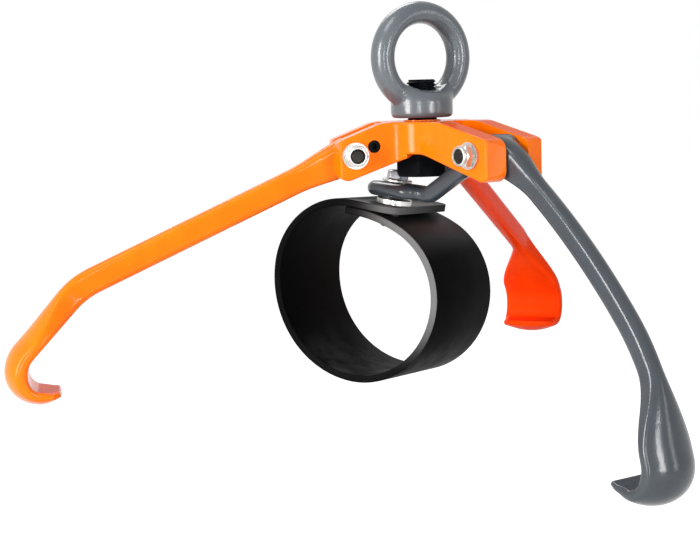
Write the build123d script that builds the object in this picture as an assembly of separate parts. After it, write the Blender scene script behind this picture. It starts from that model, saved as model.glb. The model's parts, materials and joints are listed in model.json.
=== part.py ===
from build123d import *
import os
from math import cos, hypot, radians, sin, tan

# Three-armed drum clamp, hung from its eye. Millimetres and degrees.
# It is drawn about the hub: the eye screw is the vertical axis, the pivot bolt is at height 0,
# and the swinging lever lies along +X. At the end all is lowered so that the eye's centre is the origin.

# Fits
RUN = 0.05             # radial clearance of a shaft that turns in its hole
CLEAR = 0.2            # radial clearance of a bolt through a plain hole
SIDE = 0.3             # clearance on each side of the lever in its fork
SEAT = 0.3             # clearance of a rigid piece against a curved or soft seat
TONGUE_END_GAP = 0.5   # between an arm's tongue and the end of its slot
CUT_PAST = 1.0         # a cut runs this far past the face it leaves by
SAME = 0.01            # points closer than this are one point
MIDWAY = 0.5

# Hub: a three-way fork
ARM_SPACING = 120.0
SLOT_W = 23.6
CHEEK_T = 17.8
CHEEK_BEND_R = 30.0
SLOT_START = 34.0
HUB_TOP = 25.5
HUB_UNDERSIDE = 0.0
COLLAR_D = 30.0
COLLAR_H = 0.8
SPOT_GAP = 1.0         # the flat under the hub is this much wider than the eye's washer
HUB_ROUND = 2.0
CREASE_ANGLE = 15.0    # faces that meet at more than this have their edge rounded
EAR_SLANT = 3.0        # the ends of the cheeks run out towards the slot
EAR_TOP = 11.0
EAR_BOTTOM = -23.5
EAR_ROUND = 9.0
FIXED_EAR_R = 71.5     # reach of the two forks that hold fixed arms
FIXED_TOP_FLAT = 37.0
FIXED_UNDER_FLAT = 10.0
LEVER_EAR_R = 106.5    # reach of the fork that holds the lever
LEVER_TOP_FLAT = 50.0
LEVER_UNDER_FLAT = 32.0
ARCH_R = 40.0          # rounding where the flats of the hub turn down to the ears

# Bolts through the forks, with plain washers and lock nuts with a collar
BOLT_D = 10.0
BOLT_HEX = 16.0
BOLT_HEAD_H = 6.4
NUT_HEX_H = 7.0
NUT_COLLAR_D = 15.0
NUT_COLLAR_H = 3.0
WASHER_D = 21.0
WASHER_T = 2.0
BOLT_OVERRUN = 0.6     # bolt end past the nut
BOLT_CHAMFER = 1.0
HEX_CHAMFER = 0.8
HEX_HALF_TURN = 30.0   # brings a flat of a hexagon to where a corner was
FIXED_BOLT_R = 59.5
PIVOT_R = 88.0
BUSH_WALL = 2.5

# Socket screws that keep the fixed arms from turning
LOCK_D = 10.0
LOCK_R = 44.5
LOCK_Z = 7.0
LOCK_DEPTH = 14.0      # how far it goes into the tongue
LOCK_SOCKET = 5.0
LOCK_SOCKET_H = 5.0

# Lifting eye on its screw
EYE_SCREW_D = 24.0
EYE_HEX = 40.0
EYE_HEAD_H = 15.0
EYE_WASHER_D = 46.0
EYE_WASHER_T = 3.0
EYE_PLAY = 1.7         # the eye stands this far above the hub's collar
EYE_FOOT_D = 50.0
EYE_FOOT_H = 17.0
EYE_FOOT_CHAMFER = 2.0
EYE_NECK_R = 8.0
EYE_RING_RISE = 48.0   # ring's centre above the foot's underside
EYE_RING_D = 72.0      # middle of the ring's section
EYE_SECTION_R = 9.0    # oval section: half its width from the ring's centre outwards
EYE_SECTION_AX = 11.0  # and half its width along the ring's axis
EYE_SCREW_PROUD = 9.5  # screw end above the inside of the ring
EYE_SCREW_CHAMFER = 2.0
EYE_TURN = 82.0        # direction of the ring's plane about the vertical

# Arms: a forged bar that flares into a wide curled hook
TONGUE_INSET = 1.0     # the tongue lies below the edges of the cheeks
TONGUE_PAST_EAR = 1.0
BAR_SLOPE = 24.5
BAR_RISE = 1.0         # middle of the bar above the bolt
BAR_LENGTH = 223.0
BAR_T = 16.5
BAR_H = 21.0
BAR_ROUND = 5.5
BAR_ROOT_H = 30.0
ELBOW_R = 70.0
ELBOW_TURN = 22.5
SHANK_LENGTH = 52.0
HOOK_W = 55.0
HOOK_T = 19.0
HOOK_BACK_ROUND = 12.0
HOOK_INNER_ROUND = 4.0
CURL_R = 26.0
CURL_END = -90.0       # heading at the back of the hook, from which the mouth is bent
MOUTH_R = 19.5
MOUTH_TURN = 90.0
LIP_R = 39.0
LIP_TURN = 25.0
LIP_ROOT_T = 11.5
LIP_T = 5.0
LIP_W = 26.0
LIP_SHOULDER = 12.0    # the paddle starts to narrow this far before its lip
ROOT_LENGTH = 60.0     # from the bolt to where the bar has its even section
FLARE_LENGTH = 62.0
FLARE_BEFORE = 6.0     # the paddle has its full width this far before the hook's back
STATION_PITCH = 13.0   # between the sections an arm is forged through
CORNER_SHARE = 0.96    # most of a section's depth that its corner radii take together
LIP_KNEE = 0.6         # part of the lip's length by which
LIP_KNEE_W = 45.0      # it has narrowed to this

# Lever: the same hook, turned further in, on a bowed bar; a slotted eye at its inner end
LEVER_BOSS_D = 34.0
LEVER_BAR_T = 15.5
LEVER_BAR_H = 18.5
LEVER_START = -12.0
SHOULDER_R = 60.0
SHOULDER_TURN = 24.3
BOW_R = 580.0
BOW_TURN = 15.3
LEVER_ELBOW_R = 178.0
LEVER_ELBOW_TURN = 23.2
LEVER_SHANK_LENGTH = 32.0
LEVER_HOOK_TURN = 20.5
TAIL_ANGLE = 196.0
TAIL_LENGTH = 28.0
TAIL_DIP_R = 40.0
TAIL_DIP_TURN = 17.0
TAIL_DROP = 33.0
TAIL_BEND_R = 28.0
TAIL_TILT = 5.0        # the eye's plane drops this much towards the pivot
TAIL_D = 13.5
TAIL_TAPER = 48.0      # from the pivot to where the tail is round
TAIL_END_H = 10.5      # depth where the tail runs into the eye's bar
EYE_BAR_D = 11.5
EYE_SLOT_W = 13.0
EYE_SLOT_L = 34.0
BAND_BOLT_AT = 11.0    # bolt from the centre of the slot's far end

# Band: a strip of stiff rubber rolled into a loop, bolted under the lever's eye
BAND_W = 100.0
BAND_T = 6.0
BAND_OFFSET = 3.0      # bolt hole off the middle of the strip's width
BAND_TURN = 20.7
TAB_FREE = 22.5        # flat of the tab past its bolt
TAB_BACK = 26.5        # flat of the tab behind its bolt
TAB_ROUND = 7.0
LOOP_R_LEFT = 59.0
LOOP_R_LOW = 78.5
LOOP_R_TOP = 110.0
LOOP_TOP_TURN = 20.0
LAP_END = 8.5          # straight inner end of the strip
LAP_SHIFT = 5.0        # the inner lap meets the tab this far ahead of where the tab leaves the round
LAP_GAP = 0.3
SPACER_D = 29.0
SPACER_T = 5.0
BAND_NUT_H = 8.0


def round_bar(diameter, bottom, top):
    """Upright cylinder between two heights."""
    foot = (Align.CENTER, Align.CENTER, Align.MIN)
    return Pos(0, 0, bottom) * Cylinder(diameter / 2, top - bottom, align=foot)


def ring(outer, inner, bottom, top):
    """Upright tube between two heights."""
    return round_bar(outer, bottom, top) - round_bar(inner, bottom, top)


def hexagon(across_flats, bottom, top, chamfer_top=True):
    """Upright hexagon bar with the corners of one end turned off."""
    flats = RegularPolygon(across_flats / 2, 6, major_radius=False)
    body = Pos(0, 0, bottom) * extrude(flats, top - bottom)
    corner = across_flats / 3 ** 0.5
    height = top - bottom
    turned_r = corner - HEX_CHAMFER
    full_r = corner + height
    foot = (Align.CENTER, Align.CENTER, Align.MIN)
    low_r, high_r = (full_r, turned_r) if chamfer_top else (turned_r, full_r)
    return body & Pos(0, 0, bottom) * Cone(low_r, high_r, height, align=foot)


def chain(start, heading, steps):
    """Tangent lines and arcs, one after the other, in a plane.

    A step is (length,) for a line or (radius, turn) for an arc, positive to the left.
    """
    edges = []
    at = Vector(*start)
    for step in steps:
        way = Vector(cos(radians(heading)), sin(radians(heading)))
        if len(step) == 1:
            edge = Line(at, at + way * step[0])
        else:
            edge = JernArc(at, way, step[0], step[1])
            heading += step[1]
        edges.append(edge)
        at = edge @ 1
    return edges


def rounded(width, depth, back_round, inner_round):
    """Section of an arm, its outer and its inner corners rounded as far as its depth allows."""
    fit = min(1.0, CORNER_SHARE * depth / (back_round + inner_round))
    face = Rectangle(width, depth)
    face = fillet(face.vertices().group_by(Axis.Y)[-1], back_round * fit)
    return fillet(face.vertices().group_by(Axis.Y)[0], inner_round * fit)


def mix(low, high, share):
    """Value part of the way from one to another."""
    return low + (high - low) * share


def flow(knots, distance):
    """Size at a distance along a path: it eases from each knot (distance, size) to the next."""
    for (start, low), (end, high) in zip(knots, knots[1:]):
        if distance <= end:
            share = (distance - start) / (end - start)
            return mix(low, high, share * share * (3 - 2 * share))
    return knots[-1][1]


def across(edges, distance):
    """Plane across a path in the plane of an arm, at a distance along it."""
    for edge in edges:
        if distance <= edge.length + SAME:
            share = min(1.0, distance / edge.length)
            point = edge @ share
            way = edge % share
            return Plane(origin=(point.X, 0, point.Y), x_dir=(0, 1, 0), z_dir=(way.X, 0, way.Y))
        distance -= edge.length


def forged(edges, widths, depths, rounds):
    """Bar along a path, with its width, its depth and its two corner radii flowing between knots."""
    length = sum(edge.length for edge in edges)
    count = round(length / STATION_PITCH)
    back = [(at, pair[0]) for at, pair in rounds]
    inner = [(at, pair[1]) for at, pair in rounds]
    sections = []
    for i in range(count + 1):
        at = length * i / count
        face = rounded(flow(widths, at), flow(depths, at), flow(back, at), flow(inner, at))
        sections.append(across(edges, at) * face)
    return loft(sections)


def hooked(edges, shank, root_w, bar_t, bar_h):
    """Arm from its root to the tip of its hook; shank is the index of the step before the hook's back."""
    ends = []
    for edge in edges:
        ends.append((ends[-1] if ends else 0.0) + edge.length)
    full = ends[shank] - FLARE_BEFORE
    tip = ends[-1]
    lip = ends[shank + 2]
    widths = [(0, root_w), (ROOT_LENGTH, bar_t), (full - FLARE_LENGTH, bar_t), (full, HOOK_W),
              (lip - LIP_SHOULDER, HOOK_W), (mix(lip, tip, LIP_KNEE), LIP_KNEE_W), (tip, LIP_W)]
    depths = [(0, BAR_ROOT_H), (ROOT_LENGTH, bar_h), (ends[shank], bar_h), (ends[shank + 1], HOOK_T),
              (lip, LIP_ROOT_T), (tip, LIP_T)]
    rounds = [(0, (BAR_ROUND, BAR_ROUND)), (full - FLARE_LENGTH, (BAR_ROUND, BAR_ROUND)),
              (full, (HOOK_BACK_ROUND, HOOK_INNER_ROUND))]
    return forged(edges, widths, depths, rounds)


def hook_steps(shank_length, shank_heading, hook_turn=0.0):
    """Path of the shank, the back of the hook, its mouth and its lip."""
    curl = shank_heading - (CURL_END - hook_turn)
    return [(shank_length,), (CURL_R, -curl), (MOUTH_R, -MOUTH_TURN), (LIP_R, -LIP_TURN)]


def fork_space(start, end, width):
    """Block that fills a fork's slot between two distances from the hub's axis."""
    tall = 2 * (HUB_TOP - EAR_BOTTOM)
    at_start = (Align.MIN, Align.CENTER, Align.CENTER)
    return Pos(start, 0, 0) * Box(end - start, width, tall, align=at_start)


def beside_fork(end, width):
    """Blocks on both sides of a fork's slot, to dress an arm flat where it lies between the cheeks."""
    return fork_space(SLOT_START, end, 2 * HOOK_W) - fork_space(SLOT_START, end, width)


def arched_side(reach, top_flat, under_flat, inset=0.0):
    """Side view of one fork of the hub: flat at the middle, then down to a rounded ear."""
    top_edge = HUB_TOP - inset
    under_edge = HUB_UNDERSIDE + inset
    corners = [
        (0, under_edge),
        (under_flat, under_edge),
        (reach, EAR_BOTTOM + inset),
        (reach, EAR_TOP - inset),
        (top_flat, top_edge),
        (0, top_edge),
    ]
    side = make_face(Polyline(*corners, close=True))
    bends = side.vertices().filter_by(lambda v: SAME < v.X < reach - SAME)
    side = fillet(bends, ARCH_R)
    ears = side.vertices().filter_by(lambda v: abs(v.X - reach) < SAME)
    return fillet(ears, EAR_ROUND)


def fork_reach(ear):
    """Full reach of a fork: its cheeks run out towards the slot."""
    return ear + EAR_SLANT


def hub_plan():
    """Plan of the hub: three bars with hollow bends between them."""
    half = SLOT_W / 2 + CHEEK_T
    plan = Sketch()
    for turn, ear in ((0, LEVER_EAR_R), (ARM_SPACING, FIXED_EAR_R), (-ARM_SPACING, FIXED_EAR_R)):
        corners = [(0, -half), (ear, -half), (fork_reach(ear), -SLOT_W / 2),
                   (fork_reach(ear), SLOT_W / 2), (ear, half), (0, half)]
        plan += Rot(0, 0, turn) * make_face(Polyline(*corners, close=True))
    bisector = half / sin(radians(ARM_SPACING / 2))
    bends = plan.vertices().filter_by(lambda v: abs(hypot(v.X, v.Y) - bisector) < SAME)
    return fillet(bends, CHEEK_BEND_R)


def fork_side(ear, top_flat, under_flat):
    """One third of the hub's height profile, as a wedge-shaped block over its own fork."""
    reach = fork_reach(ear)
    block = extrude(Plane.XZ * arched_side(reach, top_flat, under_flat), reach, both=True)
    spread = reach * tan(radians(ARM_SPACING / 2))
    wedge = make_face(Polyline((0, 0), (reach, -spread), (reach, spread), close=True))
    tall = HUB_TOP - EAR_BOTTOM
    return block & Pos(0, 0, EAR_BOTTOM) * extrude(wedge, tall)


def make_hub():
    """Hub casting with three slots, the eye's bore and the bolt holes."""
    tall = HUB_TOP - EAR_BOTTOM
    star = Pos(0, 0, EAR_BOTTOM) * extrude(hub_plan(), tall)
    sides = fork_side(LEVER_EAR_R, LEVER_TOP_FLAT, LEVER_UNDER_FLAT)
    fixed = fork_side(FIXED_EAR_R, FIXED_TOP_FLAT, FIXED_UNDER_FLAT)
    sides += Rot(0, 0, ARM_SPACING) * fixed
    sides += Rot(0, 0, -ARM_SPACING) * fixed
    hub = star & sides
    hub = fillet(outer_creases(hub), HUB_ROUND)
    hub += round_bar(COLLAR_D, HUB_UNDERSIDE, HUB_TOP + COLLAR_H)
    for turn, ear in ((0, LEVER_EAR_R), (ARM_SPACING, FIXED_EAR_R), (-ARM_SPACING, FIXED_EAR_R)):
        hub -= Rot(0, 0, turn) * fork_space(SLOT_START, fork_reach(ear) + CUT_PAST, SLOT_W)
    hub -= round_bar(EYE_WASHER_D + 2 * SPOT_GAP, EAR_BOTTOM, HUB_UNDERSIDE)
    hub -= round_bar(EYE_SCREW_D + 2 * RUN, EAR_BOTTOM, HUB_TOP + COLLAR_H + CUT_PAST)
    bolt_hole = cross_hole(BOLT_D / 2 + CLEAR, SLOT_W + 2 * CHEEK_T)
    hub -= Pos(PIVOT_R, 0, 0) * bolt_hole
    for turn, side in ((-ARM_SPACING, 1), (ARM_SPACING, -1)):
        hub -= Rot(0, 0, turn) * Pos(FIXED_BOLT_R, 0, 0) * bolt_hole
        hub -= Rot(0, 0, turn) * lock_place(side) * lock_hole()
    return hub


def cross_hole(radius, width):
    """Cutter for a hole along Y, right through a width."""
    return Rot(90, 0, 0) * Cylinder(radius, width + 2 * CUT_PAST)


def lock_hole():
    """Cutter for a lock screw's hole, through the cheek and into the tongue."""
    return round_bar(LOCK_D + 2 * RUN, -LOCK_DEPTH - CHEEK_T, CUT_PAST)


def outer_creases(solid):
    """Sharp edges of the hub, all but those of the arch under its middle."""
    sharp = ShapeList()
    for edge in solid.edges():
        middle = edge.position_at(MIDWAY)
        meeting = [face for face in solid.faces() if any(edge.is_same(side) for side in face.edges())]
        bend = meeting[0].normal_at(middle).get_angle(meeting[1].normal_at(middle))
        under_middle = middle.Z < HUB_UNDERSIDE + SAME and hypot(middle.X, middle.Y) < ARCH_R
        if bend > CREASE_ANGLE and not under_middle:
            sharp.append(edge)
    return sharp


def lock_place(side):
    """Place of a lock screw's outer end on a cheek; side is +1 or -1 across the arm."""
    return Pos(LOCK_R, side * (SLOT_W / 2 + CHEEK_T), LOCK_Z) * Rot(-90 * side, 0, 0)


def make_fixed_arm(side):
    """Fixed arm along +X: tongue for the fork, straight bar, elbow and hook."""
    steps = [(BAR_LENGTH,), (ELBOW_R, -ELBOW_TURN)]
    steps += hook_steps(SHANK_LENGTH, -BAR_SLOPE - ELBOW_TURN)
    edges = chain((FIXED_BOLT_R, BAR_RISE), -BAR_SLOPE, steps)
    arm = hooked(edges, 2, SLOT_W, BAR_T, BAR_H)
    reach = fork_reach(FIXED_EAR_R) + TONGUE_PAST_EAR
    tongue_side = arched_side(reach, FIXED_TOP_FLAT, FIXED_UNDER_FLAT, TONGUE_INSET)
    tongue = extrude(Plane.XZ * tongue_side, SLOT_W / 2, both=True)
    arm += tongue & fork_space(SLOT_START + TONGUE_END_GAP, reach, SLOT_W)
    arm -= beside_fork(reach, SLOT_W)
    arm -= Pos(FIXED_BOLT_R, 0, 0) * cross_hole(BOLT_D / 2 + CLEAR, SLOT_W)
    arm -= lock_place(side) * lock_hole()
    return arm


def lever_paths():
    """Outer path from the pivot to the hook, and inner path from the pivot to the eye."""
    outer = [(SHOULDER_R, -SHOULDER_TURN), (BOW_R, -BOW_TURN), (LEVER_ELBOW_R, -LEVER_ELBOW_TURN)]
    shank_heading = LEVER_START - SHOULDER_TURN - BOW_TURN - LEVER_ELBOW_TURN
    outer += hook_steps(LEVER_SHANK_LENGTH, shank_heading, LEVER_HOOK_TURN)
    bend = TAIL_ANGLE + TAIL_DIP_TURN - (180 - TAIL_TILT)
    inner = [(TAIL_LENGTH,), (TAIL_DIP_R, TAIL_DIP_TURN), (TAIL_DROP,), (TAIL_BEND_R, -bend)]
    inner.append((EYE_BAR_D / 2,))
    return chain((PIVOT_R, 0), LEVER_START, outer), chain((PIVOT_R, 0), TAIL_ANGLE, inner)


def eye_place():
    """Place of the lever's slotted eye: its near end is where the tail's path ends."""
    end = lever_paths()[1][-1] @ 1
    return Pos(end.X, 0, end.Y) * Rot(0, TAIL_TILT, 0)


def band_place():
    """Place of the band's bolt, at the middle of the eye's bar."""
    middle_r = (EYE_SLOT_W + EYE_BAR_D) / 2
    return eye_place() * Pos(-middle_r - EYE_SLOT_L + BAND_BOLT_AT, 0, 0)


def make_lever():
    """Lever: hook, bowed bar, pivot boss, tail and slotted eye."""
    outer, inner = lever_paths()
    fork_t = SLOT_W - 2 * SIDE
    lever = hooked(outer, 3, fork_t, LEVER_BAR_T, LEVER_BAR_H)
    tail_end = sum(edge.length for edge in inner)
    swell = tail_end - EYE_BAR_D
    end_w = EYE_SLOT_W + EYE_BAR_D / 2
    tail_w = [(0, fork_t), (TAIL_TAPER, TAIL_D), (swell, TAIL_D), (tail_end, end_w)]
    tail_h = [(0, BAR_ROOT_H), (TAIL_TAPER, TAIL_D), (swell, TAIL_D), (tail_end, TAIL_END_H)]
    tail_r = [(0, (BAR_ROUND, BAR_ROUND)), (TAIL_LENGTH, (TAIL_D / 2, TAIL_D / 2))]
    lever += forged(inner, tail_w, tail_h, tail_r)
    lever += Pos(PIVOT_R, 0, 0) * Rot(90, 0, 0) * Cylinder(LEVER_BOSS_D / 2, fork_t)
    lever += make_eye_bar()
    lever -= beside_fork(fork_reach(LEVER_EAR_R) + SIDE, fork_t)
    lever -= Pos(PIVOT_R, 0, 0) * cross_hole(BOLT_D / 2 + RUN + BUSH_WALL, fork_t)
    return lever


def make_eye_bar():
    """Round bar bent into a long eye, its near end at the tail."""
    middle_r = (EYE_SLOT_W + EYE_BAR_D) / 2
    near = Vector(-middle_r, middle_r)
    far = Vector(-middle_r - EYE_SLOT_L, middle_r)
    top = Line(near, far)
    far_end = JernArc(top @ 1, (-1, 0), middle_r, 180)
    low = Line(far_end @ 1, far_end @ 1 + Vector(EYE_SLOT_L, 0))
    near_end = JernArc(low @ 1, (1, 0), middle_r, 180)
    path = Wire([top.edge(), far_end.edge(), low.edge(), near_end.edge()])
    section = Plane(origin=top @ 0, z_dir=(-1, 0, 0)) * Circle(EYE_BAR_D / 2)
    return eye_place() * sweep(section, path=path)


def strip_outline():
    """Side view of the rolled strip: its bolt is at 0 across, the tab's top is at height 0."""
    side_turn = 90
    top_rise = LOOP_R_TOP * (1 - cos(radians(LOOP_TOP_TURN)))
    top_run = LOOP_R_TOP * sin(radians(LOOP_TOP_TURN))
    rest_turn = side_turn - LOOP_TOP_TURN
    rise_share = sin(radians(rest_turn))
    run_share = 1 - cos(radians(rest_turn))
    lap_drop = BAND_T + LAP_GAP
    # The two right-hand radii bring the inner lap under the tab, one thickness lower.
    height = LOOP_R_LEFT + LOOP_R_LOW - lap_drop - top_rise
    width = LAP_SHIFT + top_run + LOOP_R_LEFT - LOOP_R_LOW
    r_upper = (height - width) / (rise_share + run_share)
    r_right = height - rise_share * r_upper
    steps = [(TAB_FREE + TAB_BACK,), (LOOP_R_LEFT, side_turn), (LOOP_R_LOW, side_turn), (r_right, side_turn),
             (r_upper, rest_turn), (LOOP_R_TOP, LOOP_TOP_TURN), (LAP_END,)]
    outer = chain((TAB_FREE, 0), 180, widen(steps, BAND_T))
    inner = chain((TAB_FREE, -BAND_T), 180, widen(steps, -BAND_T))
    ends = [Line(outer[0] @ 0, inner[0] @ 0), Line(outer[-1] @ 1, inner[-1] @ 1)]
    return outer + inner + ends


def widen(steps, thickness):
    """Steps of the strip's outer face, or of its inner one where the thickness is negative."""
    return [step if len(step) == 1 else (step[0] + thickness / 2, step[1]) for step in steps]


def make_band():
    """Rolled strip with rounded tab corners and a bolt hole through both laps."""
    outline = [edge.edge() for edge in strip_outline()]
    band = Pos(0, BAND_OFFSET, 0) * extrude(Plane.XZ * make_face(outline), BAND_W / 2, both=True)
    free_corners = band.edges().filter_by(Axis.Z).filter_by(lambda e: e.center().X > TAB_FREE - SAME)
    band = fillet(free_corners, TAB_ROUND)
    return band - round_bar(BOLT_D + 2 * CLEAR, lap_underside() - CUT_PAST, CUT_PAST)


def lap_underside():
    """Lowest point of the inner lap under the head of the band's bolt, below the tab's top."""
    reach = WASHER_D / 2 + TAB_BACK - LAP_SHIFT
    return -2 * BAND_T - LAP_GAP - (LOOP_R_TOP - (LOOP_R_TOP ** 2 - reach ** 2) ** 0.5)


def fork_bolt(side):
    """Bolt, nut and two washers across a fork, along Y; the nut is on the given side."""
    half = SLOT_W / 2 + CHEEK_T
    nut_top = half + WASHER_T + NUT_HEX_H + NUT_COLLAR_H
    shank = round_bar(BOLT_D, -half - WASHER_T, nut_top + BOLT_OVERRUN)
    shank = chamfer(shank.edges().sort_by(Axis.Z)[-1], BOLT_CHAMFER)
    bolt = shank + hexagon(BOLT_HEX, -half - WASHER_T - BOLT_HEAD_H, -half - WASHER_T, chamfer_top=False)
    nut = hexagon(BOLT_HEX, half + WASHER_T, half + WASHER_T + NUT_HEX_H)
    nut += round_bar(NUT_COLLAR_D, half + WASHER_T, nut_top)
    nut = fillet(nut.edges().sort_by(Axis.Z)[-1], HEX_CHAMFER)
    nut -= round_bar(BOLT_D + 2 * RUN, half, nut_top + CUT_PAST)
    hole = BOLT_D + 2 * CLEAR
    washers = [ring(WASHER_D, hole, half, half + WASHER_T), ring(WASHER_D, hole, -half - WASHER_T, -half)]
    turn = Rot(-90 * side, 0, 0)
    return turn * bolt, turn * nut, [turn * washer for washer in washers]


def make_lock_screw():
    """Socket screw, its outer end at height 0."""
    screw = round_bar(LOCK_D, -CHEEK_T - LOCK_DEPTH + RUN, 0)
    screw = chamfer(screw.edges().sort_by(Axis.Z)[-1], HEX_CHAMFER)
    socket = RegularPolygon(LOCK_SOCKET / 2, 6, major_radius=False)
    return screw - Pos(0, 0, -LOCK_SOCKET_H) * extrude(socket, LOCK_SOCKET_H)


def make_eye_nut(foot):
    """Forged eye nut: a round foot that runs up into the ring."""
    low_r = EYE_FOOT_D / 2
    centre = foot + EYE_RING_RISE
    throat = EYE_RING_D / 2 - EYE_SECTION_R
    neck_top = foot + EYE_FOOT_H + EYE_NECK_R
    profile = Polyline((0, foot), (low_r - EYE_FOOT_CHAMFER, foot), (low_r, foot + EYE_FOOT_CHAMFER),
                       (low_r, foot + EYE_FOOT_H), (low_r - EYE_NECK_R, neck_top), (0, neck_top), close=True)
    eye = revolve(Plane.XZ * make_face(profile), Axis.Z)
    section = Plane.XZ * Pos(EYE_RING_D / 2, 0) * Ellipse(EYE_SECTION_R, EYE_SECTION_AX)
    eye += Pos(0, 0, centre) * Rot(90, 0, 0) * revolve(section, Axis.Z)
    eye -= Pos(0, 0, centre) * Rot(90, 0, 0) * Cylinder(throat, EYE_FOOT_D)
    eye -= round_bar(EYE_SCREW_D + 2 * RUN, foot - CUT_PAST, centre)
    return Rot(0, 0, EYE_TURN) * eye


def make_eye_screw(head_top, end):
    """Hexagon screw that hangs the hub from the eye."""
    shank = round_bar(EYE_SCREW_D, head_top, end)
    shank = chamfer(shank.edges().sort_by(Axis.Z)[-1], EYE_SCREW_CHAMFER)
    return shank + hexagon(EYE_HEX, head_top - EYE_HEAD_H, head_top, chamfer_top=False)


def make_all():
    """Every piece in place, by name."""
    pieces = {"hub": make_hub()}
    for name, turn, side in (("left", -ARM_SPACING, 1), ("rear", ARM_SPACING, -1)):
        place = Rot(0, 0, turn)
        bolt, nut, washers = fork_bolt(side)
        at_bolt = place * Pos(FIXED_BOLT_R, 0, 0)
        pieces[name + "_arm"] = place * make_fixed_arm(side)
        pieces[name + "_arm_bolt"] = at_bolt * bolt
        pieces[name + "_arm_nut"] = at_bolt * nut
        pieces[name + "_arm_washers"] = [at_bolt * washer for washer in washers]
        pieces[name + "_lock_screw"] = place * lock_place(side) * make_lock_screw()

    bolt, nut, washers = fork_bolt(-1)
    at_pivot = Pos(PIVOT_R, 0, 0)
    pieces["lever"] = make_lever()
    pieces["pivot_bolt"] = at_pivot * bolt
    pieces["pivot_nut"] = at_pivot * nut
    pieces["pivot_washers"] = [at_pivot * washer for washer in washers]
    half_bush = SLOT_W / 2 - SIDE
    bush = ring(BOLT_D + 2 * (RUN + BUSH_WALL), BOLT_D + 2 * RUN, -half_bush, half_bush)
    pieces["pivot_bush"] = at_pivot * Rot(90, 0, 0) * bush

    foot = HUB_TOP + COLLAR_H + EYE_PLAY
    head_top = HUB_UNDERSIDE - EYE_WASHER_T
    throat_bottom = foot + EYE_RING_RISE - EYE_RING_D / 2 + EYE_SECTION_R
    pieces["eye_nut"] = make_eye_nut(foot)
    pieces["eye_screw"] = make_eye_screw(head_top, throat_bottom + EYE_SCREW_PROUD)
    pieces["eye_washer"] = ring(EYE_WASHER_D, EYE_SCREW_D + 2 * CLEAR, head_top, HUB_UNDERSIDE)

    at_band = band_place()
    eye_r = EYE_BAR_D / 2
    tab_top = -eye_r - SPACER_T
    nut_bottom = eye_r + WASHER_T
    hole = BOLT_D + 2 * CLEAR
    head = tab_top + lap_underside() - SEAT
    pieces["band"] = at_band * Pos(0, 0, tab_top) * Rot(0, 0, BAND_TURN) * make_band()
    pieces["band_spacer"] = at_band * ring(SPACER_D, hole, tab_top, -eye_r)
    pieces["band_top_washer"] = at_band * ring(SPACER_D, hole, eye_r, nut_bottom)
    pieces["band_inner_washer"] = at_band * ring(WASHER_D, hole, head - WASHER_T, head)
    nut_top = nut_bottom + BAND_NUT_H
    nut = Rot(0, 0, HEX_HALF_TURN) * hexagon(BOLT_HEX, nut_bottom, nut_top)
    pieces["band_nut"] = at_band * (nut - round_bar(BOLT_D + 2 * RUN, eye_r, nut_top + CUT_PAST))
    shank = round_bar(BOLT_D, head - WASHER_T, nut_top + BOLT_OVERRUN)
    shank = chamfer(shank.edges().sort_by(Axis.Z)[-1], BOLT_CHAMFER)
    band_head = hexagon(BOLT_HEX, head - WASHER_T - BOLT_HEAD_H, head - WASHER_T, chamfer_top=False)
    pieces["band_bolt"] = at_band * (shank + band_head)
    return pieces, foot + EYE_RING_RISE


os.makedirs("parts", exist_ok=True)
parts, eye_height = make_all()
for node, shape in parts.items():
    solids = shape if isinstance(shape, list) else [shape]
    moved = [Pos(0, 0, -eye_height) * solid for solid in solids]
    export_step(Compound(children=moved) if len(moved) > 1 else moved[0], f"parts/{node}.step")
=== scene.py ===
"""Looks of a three-armed drum clamp that hangs from its lifting eye.

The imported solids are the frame. The hub, its washers, the lock screws and the bush show as they are,
in painted, plated or oxidised finishes. Forged pieces whose curves need more than the solids have are
built here along the same paths: the hook arms, the lever with its slotted eye, the eye nut and the
rubber loop with its bolt. Lengths are millimetres in the drawing frame, whose origin is on the eye
screw's axis at the pivot's height, and each piece is turned into the part's own frame, in metres, as
it is made.
"""

import json
import logging
import math
from dataclasses import dataclass
from enum import Enum
from typing import Callable, ClassVar, Sequence

import bmesh
import bpy
from mathutils import Matrix, Vector

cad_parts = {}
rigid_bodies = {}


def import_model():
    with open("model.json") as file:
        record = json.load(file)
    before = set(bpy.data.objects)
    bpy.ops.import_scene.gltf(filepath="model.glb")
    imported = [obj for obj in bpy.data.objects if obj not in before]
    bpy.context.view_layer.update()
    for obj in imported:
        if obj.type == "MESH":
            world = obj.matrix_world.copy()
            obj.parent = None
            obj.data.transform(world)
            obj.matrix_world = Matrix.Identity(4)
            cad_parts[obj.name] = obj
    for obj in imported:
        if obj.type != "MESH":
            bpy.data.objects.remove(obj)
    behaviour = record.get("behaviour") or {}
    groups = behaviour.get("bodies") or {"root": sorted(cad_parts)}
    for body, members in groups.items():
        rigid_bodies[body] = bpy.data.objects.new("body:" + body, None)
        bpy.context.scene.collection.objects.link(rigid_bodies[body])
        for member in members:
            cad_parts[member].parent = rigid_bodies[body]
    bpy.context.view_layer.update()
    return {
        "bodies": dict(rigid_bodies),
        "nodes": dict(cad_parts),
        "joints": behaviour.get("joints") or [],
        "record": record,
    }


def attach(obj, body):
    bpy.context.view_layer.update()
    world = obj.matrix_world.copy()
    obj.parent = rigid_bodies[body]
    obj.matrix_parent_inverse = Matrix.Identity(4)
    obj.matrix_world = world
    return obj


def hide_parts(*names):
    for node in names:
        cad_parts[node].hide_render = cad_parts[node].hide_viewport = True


LOG = logging.getLogger("drum_clamp")
MM = 0.001
FULL_TURN = 2 * math.pi
QUARTER = math.pi / 2
EYE_HEIGHT = 76.0
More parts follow.
